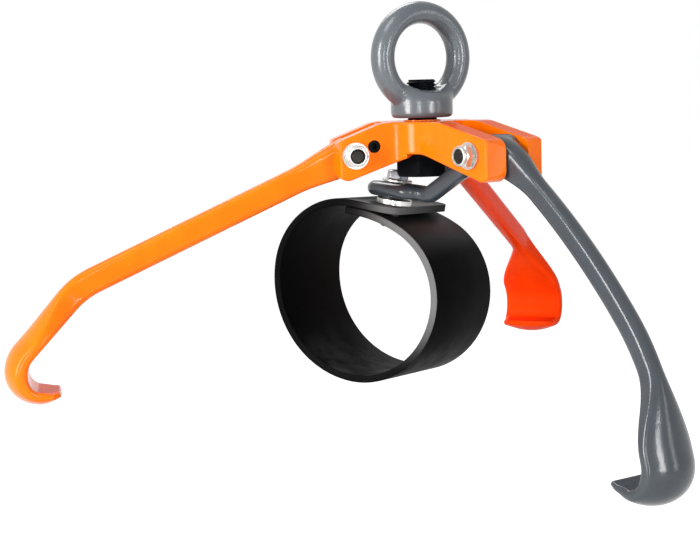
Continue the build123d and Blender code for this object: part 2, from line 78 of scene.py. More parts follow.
TO_PART = Matrix.Translation((0, 0, -EYE_HEIGHT * MM)) @ Matrix.Scale(MM, 4)

Radius = Callable[[float], float]
Stop = tuple[float, Radius]
Knots = Sequence[tuple[float, float]]
Ring = list[Vector]
Steps = tuple[tuple[float, ...], ...]
Pair = tuple[float, float]
Colour = tuple[float, float, float]
Socket = bpy.types.NodeSocket
Group = bpy.types.NodeTree
Material = bpy.types.Material
Piece = bpy.types.Object
Mesh = bmesh.types.BMesh


class Body(Enum):
    """Rigid bodies that the pieces ride on."""

    EYE = "eye"
    FRAME = "frame"
    LEVER = "lever"


class Slot(Enum):
    """Material slots of the record."""

    ORANGE = "orange_paint"
    GREY = "grey_paint"
    ZINC = "zinc_steel"
    BLACK = "black_steel"
    RUBBER = "black_rubber"
    BRONZE = "bronze"


# Shader nodes


class NodeBench:
    """A node tree under way, with short ways to add nodes and links."""

    def __init__(self, tree: bpy.types.NodeTree) -> None:
        """Start on a tree."""
        self.tree = tree

    def node(self, kind: str, **settings: object) -> bpy.types.Node:
        """Add a node.

        Args:
            kind: Type of the node.
            settings: Properties of the node to set.

        Returns:
            The node.
        """
        made = self.tree.nodes.new(kind)
        for key, value in settings.items():
            setattr(made, key, value)
        return made

    def fill(self, socket: Socket, value: object) -> None:
        """Link a socket to another one, or set its plain value.

        Args:
            socket: Input to fill.
            value: Socket to link, or the value to set.
        """
        if isinstance(value, Socket):
            self.tree.links.new(value, socket)
        else:
            socket.default_value = value

    def maths(self, operation: str, first: object, second: object) -> Socket:
        """Combine two values.

        Args:
            operation: Name of the operation.
            first: Socket or number.
            second: Socket or number.

        Returns:
            The socket that holds the result.
        """
        made = self.node("ShaderNodeMath", operation=operation)
        self.fill(made.inputs[0], first)
        self.fill(made.inputs[1], second)
        return made.outputs[0]

    def ramp(self, value: Socket, start: Pair = (0.0, 1.0), end: Pair = (0.0, 1.0),
             smooth: bool = False) -> Socket:
        """Map a value from one span to another, and stop at its ends.

        Args:
            value: Value to map.
            start: Span that it comes from.
            end: Span that it goes to.
            smooth: Whether it eases in and out.

        Returns:
            The mapped value.
        """
        kind = "SMOOTHSTEP" if smooth else "LINEAR"
        made = self.node("ShaderNodeMapRange", interpolation_type=kind)
        for label, level in zip(("From Min", "From Max", "To Min", "To Max"), (*start, *end)):
            made.inputs[label].default_value = level
        self.fill(made.inputs["Value"], value)
        return made.outputs["Result"]

    def seen(self) -> Socket:
        """Return a value that is 1 for camera, glossy and transmission rays.

        Returns:
            The value.
        """
        path = self.node("ShaderNodeLightPath").outputs
        either = self.maths("MAXIMUM", path["Is Camera Ray"], path["Is Glossy Ray"])
        return self.maths("MAXIMUM", either, path["Is Transmission Ray"])


class GroupKit(NodeBench):
    """A shader node group under way, with float inputs and one float output."""

    def __init__(self, name: str, output: str, **inputs: float) -> None:
        """Start a group.

        Args:
            name: Name of the group.
            output: Name of its output.
            inputs: Inputs and their default values.
        """
        super().__init__(bpy.data.node_groups.new(name, "ShaderNodeTree"))
        new_socket = self.tree.interface.new_socket
        for label, value in inputs.items():
            made = new_socket(label, in_out="INPUT", socket_type="NodeSocketFloat")
            made.default_value = value
        new_socket(output, in_out="OUTPUT", socket_type="NodeSocketFloat")
        self.given = self.node("NodeGroupInput").outputs
        self.sink = self.node("NodeGroupOutput")

    def normal(self) -> Socket:
        """Return the direction that the surface faces."""
        return self.node("ShaderNodeNewGeometry").outputs["Normal"]

    def place(self) -> Socket:
        """Return the piece's own coordinates."""
        return self.node("ShaderNodeTexCoord").outputs["Object"]

    def along(self, vector: Socket, axis: str) -> Socket:
        """Return one part of a vector.

        Args:
            vector: The vector.
            axis: X, Y or Z.

        Returns:
            The part.
        """
        split = self.node("ShaderNodeSeparateXYZ")
        self.fill(split.inputs[0], vector)
        return split.outputs[axis]

    def noise(self, place: Socket, scale: Socket, detail: float, roughness: float = 0.5) -> Socket:
        """Add solid noise.

        Args:
            place: Coordinates that it follows.
            scale: How fine it is.
            detail: Number of finer layers.
            roughness: Share of the finer layers.

        Returns:
            The value of the noise.
        """
        made = self.node("ShaderNodeTexNoise")
        for label, value in zip(("Vector", "Scale", "Detail", "Roughness"),
                                (place, scale, detail, roughness)):
            self.fill(made.inputs[label], value)
        return made.outputs["Fac"]

    def band(self, value: Socket, levels: Pair) -> Socket:
        """Map a value from between two levels to 0 to 1, smoothly."""
        return self.ramp(value, start=levels, smooth=True)

    def finish(self, value: Socket) -> Group:
        """Send a value to the group's output and return the group."""
        self.fill(self.sink.inputs[0], value)
        return self.tree


class Effects:
    """Surface effects that several finishes share, each a node group made once."""

    EDGE_BEND = (0.02, 0.16)
    EDGE_PATCHES = (0.35, 0.65)
    MOTTLE_LEVELS = (0.3, 0.7)
    UPWARD = (0.35, 0.95)
    SPECKS = (0.62, 0.72)
    SCRATCH_STRETCH = (1.0, 1.0, 0.06)
    SCRATCH_TURN = (0.5, 0.35, 0.0)
    STRETCH_SIDE_FADE = (-0.02, 0.025)
    STRETCH_LOW_FADE = (-0.03, 0.03)

    def __init__(self) -> None:
        """Make the groups."""
        self.edge_wear_and_highlight = self._edge_wear_and_highlight()
        self.paint_ripple = self._paint_ripple()
        self.mottle = self._mottle()
        self.dust = self._dust()
        self.scuffs = self._scuffs()
        self.strip_stretch = self._strip_stretch()
        self.level_top = self._level_top()

    def _edge_wear_and_highlight(self) -> Group:
        """Mask that is 1 along convex edges, broken up by noise.

        Returns:
            The group.
        """
        kit = GroupKit("edge_wear_and_highlight", "Mask", Width=0.0012, Breakup=220.0)
        soft = kit.node("ShaderNodeBevel", samples=6)
        kit.fill(soft.inputs["Radius"], kit.given["Width"])
        dot = kit.node("ShaderNodeVectorMath", operation="DOT_PRODUCT")
        kit.fill(dot.inputs[0], soft.outputs["Normal"])
        kit.fill(dot.inputs[1], kit.normal())
        edge = kit.band(kit.maths("SUBTRACT", 1.0, dot.outputs["Value"]), self.EDGE_BEND)
        patchy = kit.band(kit.noise(kit.place(), kit.given["Breakup"], 4.0), self.EDGE_PATCHES)
        return kit.finish(kit.maths("MULTIPLY", edge, patchy))

    def _paint_ripple(self) -> Group:
        """Height of sprayed paint: a shallow peel over the slower waves of the forging below.

        Returns:
            The group.
        """
        kit = GroupKit("paint_ripple", "Height", Peel=620.0, Waves=70.0, Share=0.35)
        peel = kit.noise(kit.place(), kit.given["Peel"], 1.5)
        waves = kit.noise(kit.place(), kit.given["Waves"], 2.0)
        return kit.finish(kit.maths("ADD", kit.maths("MULTIPLY", peel, kit.given["Share"]), waves))

    def _mottle(self) -> Group:
        """Slow patches, for small shifts of colour and gloss.

        Returns:
            The group.
        """
        kit = GroupKit("mottle", "Mask", Scale=38.0)
        patches = kit.noise(kit.place(), kit.given["Scale"], 3.0, 0.6)
        return kit.finish(kit.band(patches, self.MOTTLE_LEVELS))

    def _dust(self) -> Group:
        """Mask of fine specks that lie on faces that look up.

        Returns:
            The group.
        """
        kit = GroupKit("dust", "Mask", Scale=900.0)
        upward = kit.band(kit.along(kit.normal(), "Z"), self.UPWARD)
        specks = kit.band(kit.noise(kit.place(), kit.given["Scale"], 2.0), self.SPECKS)
        return kit.finish(kit.maths("MULTIPLY", upward, specks))

    def _level_top(self) -> Group:
        """Mask of faces that are nearly level and look up.

        Returns:
            The group.
        """
        kit = GroupKit("level_top", "Mask", Low=0.93, High=0.985)
        above = kit.maths("SUBTRACT", kit.along(kit.normal(), "Z"), kit.given["Low"])
        span = kit.maths("SUBTRACT", kit.given["High"], kit.given["Low"])
        return kit.finish(kit.band(kit.maths("DIVIDE", above, span), (0.0, 1.0)))

    def _scuffs(self) -> Group:
        """Height of fine scratches: noise drawn out along one direction.

        Returns:
            The group.
        """
        kit = GroupKit("scuffs", "Height", Scale=300.0)
        stretch = kit.node("ShaderNodeMapping")
        kit.fill(stretch.inputs["Vector"], kit.place())
        stretch.inputs["Scale"].default_value = self.SCRATCH_STRETCH
        stretch.inputs["Rotation"].default_value = self.SCRATCH_TURN
        return kit.finish(kit.noise(stretch.outputs["Vector"], kit.given["Scale"], 3.0))

    # Places the rubber's painted highlight, its painted low sheen and its glossy tab.
    def _strip_stretch(self) -> Group:
        """Mask of the stretch of a strip that lies beyond a side and above a low level.

        Returns:
            The group.
        """
        kit = GroupKit("strip_stretch", "Mask", Side=-0.03, Low=-0.22)
        place = kit.place()
        beyond = kit.maths("SUBTRACT", kit.along(place, "X"), kit.given["Side"])
        above = kit.maths("SUBTRACT", kit.along(place, "Z"), kit.given["Low"])
        beyond, above = kit.band(beyond, self.STRETCH_SIDE_FADE), kit.band(above, self.STRETCH_LOW_FADE)
        return kit.finish(kit.maths("MULTIPLY", beyond, above))


class Coating(NodeBench):
    """One material under way: a Principled shader and what feeds it."""

    def __init__(self, name: str) -> None:
        """Make an empty material with its shader.

        Args:
            name: Name of the material.
        """
        self.material = bpy.data.materials.new(name)
        self.material.use_nodes = True
        super().__init__(self.material.node_tree)
        self.shader = self.tree.nodes["Principled BSDF"]

    def constant(self, **values: object) -> None:
        """Set plain values on the shader; underscores in a name stand for spaces."""
        for key, value in values.items():
            self.shader.inputs[key.replace("_", " ")].default_value = value

    def effect(self, group: Group, **values: float) -> Socket:
        """Place a shared effect.

        Args:
            group: The effect.
            values: Its own values.

        Returns:
            Its output.
        """
        made = self.node("ShaderNodeGroup", node_tree=group)
        for key, value in values.items():
            made.inputs[key].default_value = value
        return made.outputs[0]

    def blend(self, mask: Socket, low: object, high: Colour) -> Socket:
        """Mix two colours by a mask.

        Args:
            mask: Mask from 0 to 1.
            low: Colour, or the socket of one, where the mask is 0.
            high: Colour where the mask is 1.

        Returns:
            The socket of the mixed colour.
        """
        made = self.node("ShaderNodeMix", data_type="RGBA")
        self.fill(made.inputs["Factor"], mask)
        self.fill(made.inputs[6], low if isinstance(low, Socket) else (*low, 1.0))
        self.fill(made.inputs[7], (*high, 1.0))
        return made.outputs[2]

    def level(self, mask: Socket, low: float, high: float) -> Socket:
        """Turn a mask into a value between two levels."""
        return self.ramp(mask, end=(low, high))

    def feed(self, value: Socket, socket: str) -> None:
        """Send a value to a socket of the shader."""
        self.fill(self.shader.inputs[socket], value)

    def bump(self, height: Socket, strength: float, distance: float) -> None:
        """Raise the surface by a height.

        Args:
            height: The height, from 0 to 1.
            strength: Share of the bump that shows.
            distance: Height in metres where the value is 1.
        """
        made = self.node("ShaderNodeBump")
        for label, value in zip(("Strength", "Distance", "Height"), (strength, distance, height)):
            self.fill(made.inputs[label], value)
        self.feed(made.outputs["Normal"], "Normal")


@dataclass(frozen=True)
class Finish:
    """A finish of the clamp; each kind feeds its shader in its own way."""

    name: str
    colour: Colour

    def make(self, effects: Effects) -> Material:
        """Build the material.

        Args:
            effects: Shared surface effects.

        Returns:
            The material.
        """
        coating = Coating(self.name)
        self.wire(coating, effects)
        return coating.material

    def wire(self, coating: Coating, effects: Effects) -> None:
        """Feed the shader of a coating from the effects."""
        raise NotImplementedError


@dataclass(frozen=True)
class Enamel(Finish):
    """Glossy sprayed enamel over forged steel."""

    # Edge colour: thin paint together with a painted edge highlight.
    thin_paint_and_highlight_colour: Colour
    pool_colour: Colour
    # Colour of level tops, painted darker as painted shade.
    painted_top_shade_colour: Colour
    gloss: float = 0.13
    gloss_spread: Pair = (0.04, -0.03)
    top_roughness: float = 1.0
    top_coat_ior: float = 1.058
    specular: float = 0.15
    patch_scale: float = 34.0
    edge_width: float = 0.0016
    edge_breakup: float = 160.0
    dust_scale: float = 1100.0
    dust_level: float = 0.06
    dust_colour: Colour = (0.55, 0.53, 0.5)
    peel: float = 620.0
    waves: float = 85.0
    peel_share: float = 0.3
    peel_strength: float = 0.13
    peel_height: float = 0.0012

    def wire(self, coating: Coating, effects: Effects) -> None:
        """Feed the shader: patchy paint, lighter on edges where it is thin and under a painted edge
        highlight, painted darker on level tops as painted shade, and matt there under a faint coat.

        Args:
            coating: Material under way.
            effects: Shared surface effects.
        """
        patches = coating.effect(effects.mottle, Scale=self.patch_scale)
        edges = coating.effect(effects.edge_wear_and_highlight, Width=self.edge_width, Breakup=self.edge_breakup)
        tops = coating.effect(effects.level_top)
        specks = coating.effect(effects.dust, Scale=self.dust_scale)
        shade = coating.blend(patches, self.pool_colour, self.colour)
        # Lighter, yellower edges: thin paint and a painted edge highlight.
        shade = coating.blend(edges, shade, self.thin_paint_and_highlight_colour)
        # Level tops painted darker and redder: painted shade.
        shade = coating.blend(tops, shade, self.painted_top_shade_colour)
        dusty = coating.level(specks, 0.0, self.dust_level)
        coating.feed(coating.blend(dusty, shade, self.dust_colour), "Base Color")
        dull, bright = (self.gloss + part for part in self.gloss_spread)
        gloss = coating.level(patches, dull, bright)
        matt = coating.level(tops, 0.0, self.top_roughness)
        coating.feed(coating.maths("MAXIMUM", gloss, matt), "Roughness")
        coating.feed(tops, "Coat Weight")
        coating.constant(Specular_IOR_Level=self.specular, Coat_IOR=self.top_coat_ior,
                         Coat_Roughness=self.gloss)
        ripple = coating.effect(effects.paint_ripple, Peel=self.peel, Waves=self.waves,
                                Share=self.peel_share)
        coating.bump(ripple, self.peel_strength, self.peel_height)


@dataclass(frozen=True)
class Plating(Finish):
    """Bright or oxidised metal with fine scratches."""

    stain: Colour
    roughness: float
    metallic: float = 1.0
    specular: float = 0.5
    rough_spread: Pair = (0.06, -0.03)
    patch_scale: float = 120.0
    edge_width: float = 0.0005
    edge_breakup: float = 500.0
    edge_gain: float = 1.2
    edge_lift: float = 0.02
    scratch_scale: float = 900.0
    scratch_strength: float = 0.03
    scratch_height: float = 0.0002

    def wire(self, coating: Coating, effects: Effects) -> None:
        """Feed the shader: stained metal, brighter on its edges.

        Args:
            coating: Material under way.
            effects: Shared surface effects.
        """
        patches = coating.effect(effects.mottle, Scale=self.patch_scale)
        edges = coating.effect(effects.edge_wear_and_highlight, Width=self.edge_width, Breakup=self.edge_breakup)
        shade = coating.blend(patches, self.stain, self.colour)
        bright = tuple(min(1.0, self.edge_gain * part + self.edge_lift) for part in self.colour)
        coating.feed(coating.blend(edges, shade, bright), "Base Color")
        rough, smooth = (self.roughness + part for part in self.rough_spread)
        coating.feed(coating.level(patches, rough, smooth), "Roughness")
        coating.constant(Metallic=self.metallic, Specular_IOR_Level=self.specular)
        scratches = coating.effect(effects.scuffs, Scale=self.scratch_scale)
        coating.bump(scratches, self.scratch_strength, self.scratch_height)


@dataclass(frozen=True)
class BeltRubber(Finish):
    """Black belt rubber with a painted sheen low down, a painted highlight on one stretch and a glossy
    tab.

    A stretch is (side, low) in metres, as the shared stretch mask takes it.
    """

    bloom: Colour
    painted_highlight: Colour
    painted_low_sheen: Colour
    specular: float
    tab_sheen: float
    roughness: float = 0.5
    rough_spread: float = 0.08
    sheen_ior: float = 1.8
    painted_highlight_stretch: Pair = (-0.03, -0.225)
    above_sheen_stretch: Pair = (-1.0, -0.252)
    tab_stretch: Pair = (-0.05, -0.135)
    patch_scale: float = 26.0
    sheen_patch_scale: float = 45.0
    dust_scale: float = 1500.0
    dust_level: float = 0.04
    dust_colour: Colour = (0.3, 0.3, 0.3)
    grain: float = 1400.0
    waves: float = 240.0
    grain_share: float = 0.5
    grain_strength: float = 0.08
    grain_height: float = 0.0004

    def wire(self, coating: Coating, effects: Effects) -> None:
        """Feed the shader: black rubber with bloom, a painted highlight on one stretch, a painted
        sheen low down and a glossy tab.

        Args:
            coating: Material under way.
            effects: Shared surface effects.
        """
        painted_highlight, above_sheen, tab = (
            coating.effect(effects.strip_stretch, Side=side, Low=low)
            for side, low in (self.painted_highlight_stretch, self.above_sheen_stretch, self.tab_stretch))
        patches = coating.effect(effects.mottle, Scale=self.patch_scale)
        sheen_patches = coating.effect(effects.mottle, Scale=self.sheen_patch_scale)
        specks = coating.effect(effects.dust, Scale=self.dust_scale)
        # Painted sheen on the low stretch, broken into patches.
        low_sheen = coating.maths("MULTIPLY", coating.level(above_sheen, 1.0, 0.0), sheen_patches)
        shade = coating.blend(patches, self.colour, self.bloom)
        # Painted highlight: the stretch beyond a side is lighter.
        shade = coating.blend(painted_highlight, shade, self.painted_highlight)
        shade = coating.blend(low_sheen, shade, self.painted_low_sheen)
        dusty = coating.level(specks, 0.0, self.dust_level)
        coating.feed(coating.blend(dusty, shade, self.dust_colour), "Base Color")
        rough = coating.level(patches, self.roughness, self.roughness + self.rough_spread)
        coating.feed(rough, "Roughness")
        coating.feed(coating.level(tab, 0.0, self.tab_sheen), "Coat Weight")
        coating.constant(Specular_IOR_Level=self.specular, Coat_IOR=self.sheen_ior,
                         Coat_Roughness=self.roughness)
        grain = coating.effect(effects.paint_ripple, Peel=self.grain, Waves=self.waves,
                               Share=self.grain_share)
        coating.bump(grain, self.grain_strength, self.grain_height)


ORANGE = Enamel("orange_enamel", (1.0, 0.18, 0.001), thin_paint_and_highlight_colour=(1.0, 0.25, 0.015),
                pool_colour=(0.97, 0.155, 0.001), painted_top_shade_colour=(0.9, 0.1, 0.002), top_coat_ior=1.068)
# The rear arm's enamel: the same orange paint, painted darker and redder as painted shade.
SHADED_ORANGE = Enamel("orange_enamel_rear_painted_shade", (1.0, 0.058, 0.003), thin_paint_and_highlight_colour=(1.0, 0.1, 0.01),
                    pool_colour=(0.95, 0.046, 0.002), painted_top_shade_colour=(0.9, 0.04, 0.002), specular=0.02)
GREY = Enamel("grey_enamel", (0.1, 0.115, 0.128), thin_paint_and_highlight_colour=(0.15, 0.168, 0.182),
              pool_colour=(0.084, 0.097, 0.11), painted_top_shade_colour=(0.1, 0.115, 0.128),
              gloss=0.22, specular=0.55, peel_strength=0.2)
# The lever's enamel: the eye's grey paint, painted darker as painted shade.
SHADED_GREY = Enamel("grey_enamel_lever_painted_shade", (0.047, 0.056, 0.066), thin_paint_and_highlight_colour=(0.08, 0.093, 0.104),
                   pool_colour=(0.038, 0.046, 0.054), painted_top_shade_colour=(0.047, 0.056, 0.066),
                   gloss=0.19, specular=0.42, top_coat_ior=1.03, peel_strength=0.14)
ZINC = Plating("zinc", (0.58, 0.58, 0.56), (0.46, 0.46, 0.44), 0.3)
DULL_ZINC = Plating("dull_zinc", (0.27, 0.28, 0.3), (0.2, 0.21, 0.22), 0.32)
DARK_STEEL = Plating("dark_steel", (0.032, 0.029, 0.026), (0.02, 0.018, 0.016), 0.4)
OXIDE = Plating("black_oxide", (0.004, 0.005, 0.007), (0.002, 0.003, 0.004), 0.42, metallic=0.0,
                specular=0.03)
BRONZE = Plating("bearing_bronze", (0.5, 0.32, 0.12), (0.38, 0.23, 0.08), 0.35)
# The strip: a painted sheen lightens its lowest stretch.
RUBBER = BeltRubber("belt_rubber", (0.0008, 0.0008, 0.0009), bloom=(0.0016, 0.0016, 0.0017),
                    painted_highlight=(0.0016, 0.0016, 0.0017), painted_low_sheen=(0.06, 0.06, 0.06), specular=0.012,
                    tab_sheen=1.0)
# Cut edges: a painted highlight lightens one stretch of the rim.
CUT_RUBBER = BeltRubber("cut_rubber", (0.002, 0.002, 0.002), bloom=(0.004, 0.004, 0.004),
                        painted_highlight=(0.15, 0.15, 0.15), painted_low_sheen=(0.004, 0.004, 0.004), specular=0.02,
                        tab_sheen=0.13)
SLOT_FINISHES = {Slot.ORANGE: ORANGE, Slot.GREY: GREY, Slot.ZINC: ZINC, Slot.BLACK: OXIDE,
                 Slot.RUBBER: RUBBER, Slot.BRONZE: BRONZE}


class Paintshop:
    """Materials of the clamp, each made when it is first asked for."""

    def __init__(self) -> None:
        """Make the shared effects."""
        self.effects = Effects()
        self.made: dict[str, Material] = {}

    def coat(self, finish: Finish) -> Material:
        """Return the material of a finish.

        Args:
            finish: The finish.

        Returns:
            Its material.
        """
        if finish.name not in self.made:
            self.made[finish.name] = finish.make(self.effects)
        return self.made[finish.name]

    def dress_solids(self, frame: dict) -> None:
        """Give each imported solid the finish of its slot.

        Args:
            frame: The loaded frame.
        """
        slots = {row["node"]: Slot(row["material_slot"]) for row in frame["record"]["subparts"]}
        for node, piece in frame["nodes"].items():
            material = self.coat(SLOT_FINISHES[slots[node]])
            for index in range(len(piece.material_slots)):
                piece.material_slots[index].material = material
            LOG.info("dressed %s in %s", node, material.name)


# Mesh building


def new_object(name: str, mesh: Mesh, materials: Sequence[Material],
               smooth_angle: float = 32.0) -> Piece:
    """Turn a built mesh into an object of the scene.

    Args:
        name: Name of the piece.
        mesh: Its mesh, which is freed.
        materials: Materials in the order of the faces' indices.
        smooth_angle: Edges that bend by more than this, in degrees, stay sharp.

    Returns:
        The object.
    """
    bmesh.ops.recalc_face_normals(mesh, faces=mesh.faces)
    for face in mesh.faces:
        face.smooth = True
    for edge in mesh.edges:
        if len(edge.link_faces) == 2 and edge.calc_face_angle() > math.radians(smooth_angle):
            edge.smooth = False
    data = bpy.data.meshes.new(name)
    mesh.to_mesh(data)
    mesh.free()
    for material in materials:
        data.materials.append(material)
    made = bpy.data.objects.new(name, data)
    bpy.context.scene.collection.objects.link(made)
    return made


def seat(piece: Piece, body: Body, node: str) -> Piece:
    """Put a piece on its body in place of a solid.

    Args:
        piece: The piece.
        body: Body that it rides on.
        node: Solid that it stands for.

    Returns:
        The piece.
    """
    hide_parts(node)
    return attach(piece, body.value)


def skin(mesh: Mesh, rings: Sequence[Ring], looped: bool = False) -> None:
    """Join rings of points into a tube.

    Args:
        mesh: Mesh to add to.
        rings: Rings of equally many points.
        looped: Whether the last ring joins the first; if not, each end gets a cap.
    """
    made = [[mesh.verts.new(point) for point in ring] for ring in rings]
    count = len(made[0])
    pairs = list(zip(made, made[1:]))
    if looped:
        pairs.append((made[-1], made[0]))
    for low, high in pairs:
        for i in range(count):
            j = (i + 1) % count
            mesh.faces.new((low[i], low[j], high[j], high[i]))
    if not looped:
        mesh.faces.new(list(reversed(made[0])))
        mesh.faces.new(made[-1])


def left_of(heading: float) -> Vector:
    """Return the direction to the left of a heading."""
    return Vector((-math.sin(heading), math.cos(heading)))


def spread(low: float, high: float, count: int) -> list[float]:
    """Return evenly spread values, both ends included."""
    return [low + (high - low) * i / (count - 1) for i in range(count)]


def turns(count: int) -> list[float]:
    """Return the angles of evenly spread points on a full turn."""
    return [FULL_TURN * step / count for step in range(count)]


def flow(knots: Knots, distance: float) -> float:
    """Ease from each knot to the next.

    Args:
        knots: Distances with the sizes there.
        distance: Distance along the path.

    Returns:
        The size at that distance.
    """
    for (start, low), (end, high) in zip(knots, knots[1:]):
        if distance <= end:
            share = (distance - start) / (end - start)
            return low + (high - low) * share * share * (3 - 2 * share)
    return knots[-1][1]


@dataclass(frozen=True)
class Track:
    """Tangent lines and arcs, one after the other, in a plane.

    A step is (length,) for a line or (radius, turn) for an arc, positive to the left.
    """

    start: Pair
    heading: float
    steps: Steps

    @staticmethod
    def span(step: tuple[float, ...]) -> float:
        """Return the length of one step."""
        return step[0] if len(step) == 1 else step[0] * abs(step[1])

    def ends(self) -> list[float]:
        """Return the distance at which each step ends.

        Returns:
            The distances, one for each step.
        """
        made: list[float] = []
        for step in self.steps:
            made.append((made[-1] if made else 0.0) + self.span(step))
        return made

    def at(self, distance: float) -> tuple[Vector, float]:
        """Walk along the path.

        Args:
            distance: Distance from its start.

        Returns:
            The point and the heading there.
        """
        point = Vector(self.start)
        heading = self.heading
        for step in self.steps:
            go = min(distance, self.span(step))
            if len(step) == 1:
                point = point + go * Vector((math.cos(heading), math.sin(heading)))
            else:
                radius, turn = step
                side = math.copysign(radius, turn)
                centre = point + side * left_of(heading)
                heading += math.copysign(go / radius, turn)
                point = centre - side * left_of(heading)
            distance -= go
            if distance <= 0.0:
                break
        return point, heading


@dataclass(frozen=True)
class ForgedBar:
    """Bar along a path, with a crowned back and rounded corners, whose sizes flow between knots."""

    track: Track
    widths: Knots
    depths: Knots
    crowns: Knots
    back_rounds: Knots
    inner_rounds: Knots
    pitch: float = 2.5
    corner_share: float = 0.96
    flat_points: int = 5
    corner_points: int = 6
    crown_points: int = 8

    def outline(self, distance: float) -> list[Pair]:
        """Draw the section.

        Args:
            distance: Distance along the path.

        Returns:
            Points across the bar and towards its back.
        """
        width, depth, crown, back, inner = (
            flow(knots, distance) for knots in (
                self.widths, self.depths, self.crowns, self.back_rounds, self.inner_rounds))
        fit = min(1.0, self.corner_share * (depth - crown) / (back + inner))
        back, inner, half = back * fit, inner * fit, width / 2
        crown_r = (half ** 2 + crown ** 2) / (2 * crown)
        crown_z = depth / 2 - crown_r
        bend_z = crown_z + math.sqrt((crown_r - back) ** 2 - (half - back) ** 2)
        bend_end = math.atan2(bend_z - crown_z, half - back)
        points = [(x, -depth / 2) for x in spread(0.0, half - inner, self.flat_points)[:-1]]
        for angle in spread(-QUARTER, 0.0, self.corner_points):
            points.append((half - inner + inner * math.cos(angle),
                           -depth / 2 + inner + inner * math.sin(angle)))
        for angle in spread(0.0, bend_end, self.corner_points):
            points.append((half - back + back * math.cos(angle), bend_z + back * math.sin(angle)))
        for angle in spread(bend_end, QUARTER, self.crown_points)[1:]:
            points.append((crown_r * math.cos(angle), crown_z + crown_r * math.sin(angle)))
        return points + [(-x, z) for x, z in reversed(points[1:-1])]

    def add(self, mesh: Mesh) -> None:
        """Add the bar to a mesh, in the plane Y = 0.

        Args:
            mesh: Mesh to add to.
        """
        length = self.track.ends()[-1]
        rings = []
        for distance in spread(0.0, length, round(length / self.pitch) + 1):
            point, heading = self.track.at(distance)
            up = left_of(heading)
            rings.append([Vector((point.x + up.x * out, across, point.y + up.y * out))
                          for across, out in self.outline(distance)])
        skin(mesh, rings)


@dataclass(frozen=True)
class Fettling:
    """Joins the closed bodies of a forging into one skin and softens the creases between them."""

    voxel: float = 1.1
    passes: int = 6
    softness: float = 0.5

    def apply(self, piece: Piece) -> None:
        """Add the modifiers to a piece.

        Args:
            piece: The piece.
        """
        join = piece.modifiers.new("join", "REMESH")
        join.mode = "VOXEL"
        join.voxel_size = self.voxel * MM
        join.use_smooth_shade = True
        soften = piece.modifiers.new("soften", "SMOOTH")
        soften.factor = self.softness
        soften.iterations = self.passes


def ring_at(place: Matrix, height: float, radius: Radius, segments: int) -> Ring:
    """Draw one ring of points about a place's Z.

    Args:
        place: Frame of the ring.
        height: Height in that frame.
        radius: Radius by angle.
        segments: Number of points.

    Returns:
        The ring.
    """
    points = []
    for angle in turns(segments):
        r = radius(angle)
        points.append(place @ Vector((r * math.cos(angle), r * math.sin(angle), height)))
    return points


def round_r(radius: float) -> Radius:
    """Return the same radius at every angle."""
    return lambda angle: radius


def oval_r(long: float, short: float) -> Radius:
    """Return the radius of an ellipse."""
    return lambda angle: long * short / math.hypot(short * math.cos(angle), long * math.sin(angle))


def hexagon_r(flats: float, limit: float = math.inf) -> Radius:
    """Return the radius of a hexagon with a flat facing angle 0, turned down to a limit.

    Args:
        flats: Size across flats.
        limit: Largest radius.

    Returns:
        The radius at an angle.
    """
    sector = math.radians(60)
    return lambda angle: min(
        limit, flats / 2 / math.cos((angle + sector / 2) % sector - sector / 2))


@dataclass(frozen=True)
class Fastener:
    """Piece along Z that is given by its radius, by angle, at each height."""

    name: str
    hollow: ClassVar[bool] = True
    segments: ClassVar[int] = 96

    def stops(self) -> list[Stop]:
        """Return the heights with their radii; two equal heights make a step."""
        raise NotImplementedError

    def build(self, place: Matrix, material: Material) -> Piece:
        """Build the piece.

        Args:
            place: Where its own frame stands in the drawing.
            material: Its finish.

        Returns:
            The object.
        """
        mesh = bmesh.new()
        skin(mesh, [ring_at(TO_PART @ place, height, radius, self.segments)
                    for height, radius in self.stops()], self.hollow)
        return new_object(self.name, mesh, [material])


@dataclass(frozen=True)
class HexScrew(Fastener):
    """Hexagon screw: head below, thread at the end of its shank."""

    diameter: float
    pitch: float
    head_flats: float
    head_bottom: float
    head_top: float
    thread_start: float
    end: float
    end_chamfer: float = 1.0
    corner_cut: float = 0.8
    rings_per_pitch: int = 8
    groove_depth: float = 0.61
    groove_half: float = 0.42
    groove_gain: float = 1.25
    hollow: ClassVar[bool] = False

    def thread(self, height: float) -> Radius:
        """Cut the thread.

        Args:
            height: Height on the shank.

        Returns:
            The radius of the thread there.
        """
        half = self.diameter / 2
        run_in = min(1.0, (height - self.thread_start) / self.pitch)
        depth = self.groove_depth * self.pitch * run_in
        limit = min(half, half - self.end_chamfer + max(0.0, self.end - height))

        def at(angle: float) -> float:
            """Cut the groove at an angle.

            Args:
                angle: Angle about the screw's axis.

            Returns:
                The radius there.
            """
            phase = (height / self.pitch - angle / FULL_TURN) % 1.0
            groove = max(0.0, 1 - abs(phase - 0.5) / self.groove_half)
            return min(limit, half - depth * min(1.0, self.groove_gain * groove))

        return at

    def stops(self) -> list[Stop]:
        """Return the heights and radii of the chamfered head, the shank and the thread.

        Returns:
            The heights with their radii.
        """
        corner = self.head_flats / 3 ** 0.5
        shank = round_r(self.diameter / 2)
        made: list[Stop] = []
        for share in spread(0.0, 1.0, 5):
            cut = self.corner_cut * (1 - share)
            made.append((self.head_bottom + self.corner_cut - cut,
                         hexagon_r(self.head_flats, corner - cut)))
        made += [(self.head_top, hexagon_r(self.head_flats)), (self.head_top, shank),
                 (self.thread_start, shank)]
        count = round((self.end - self.thread_start) / self.pitch * self.rings_per_pitch)
        for height in spread(self.thread_start, self.end, max(3, count))[1:]:
            made.append((height, self.thread(height)))
        return made


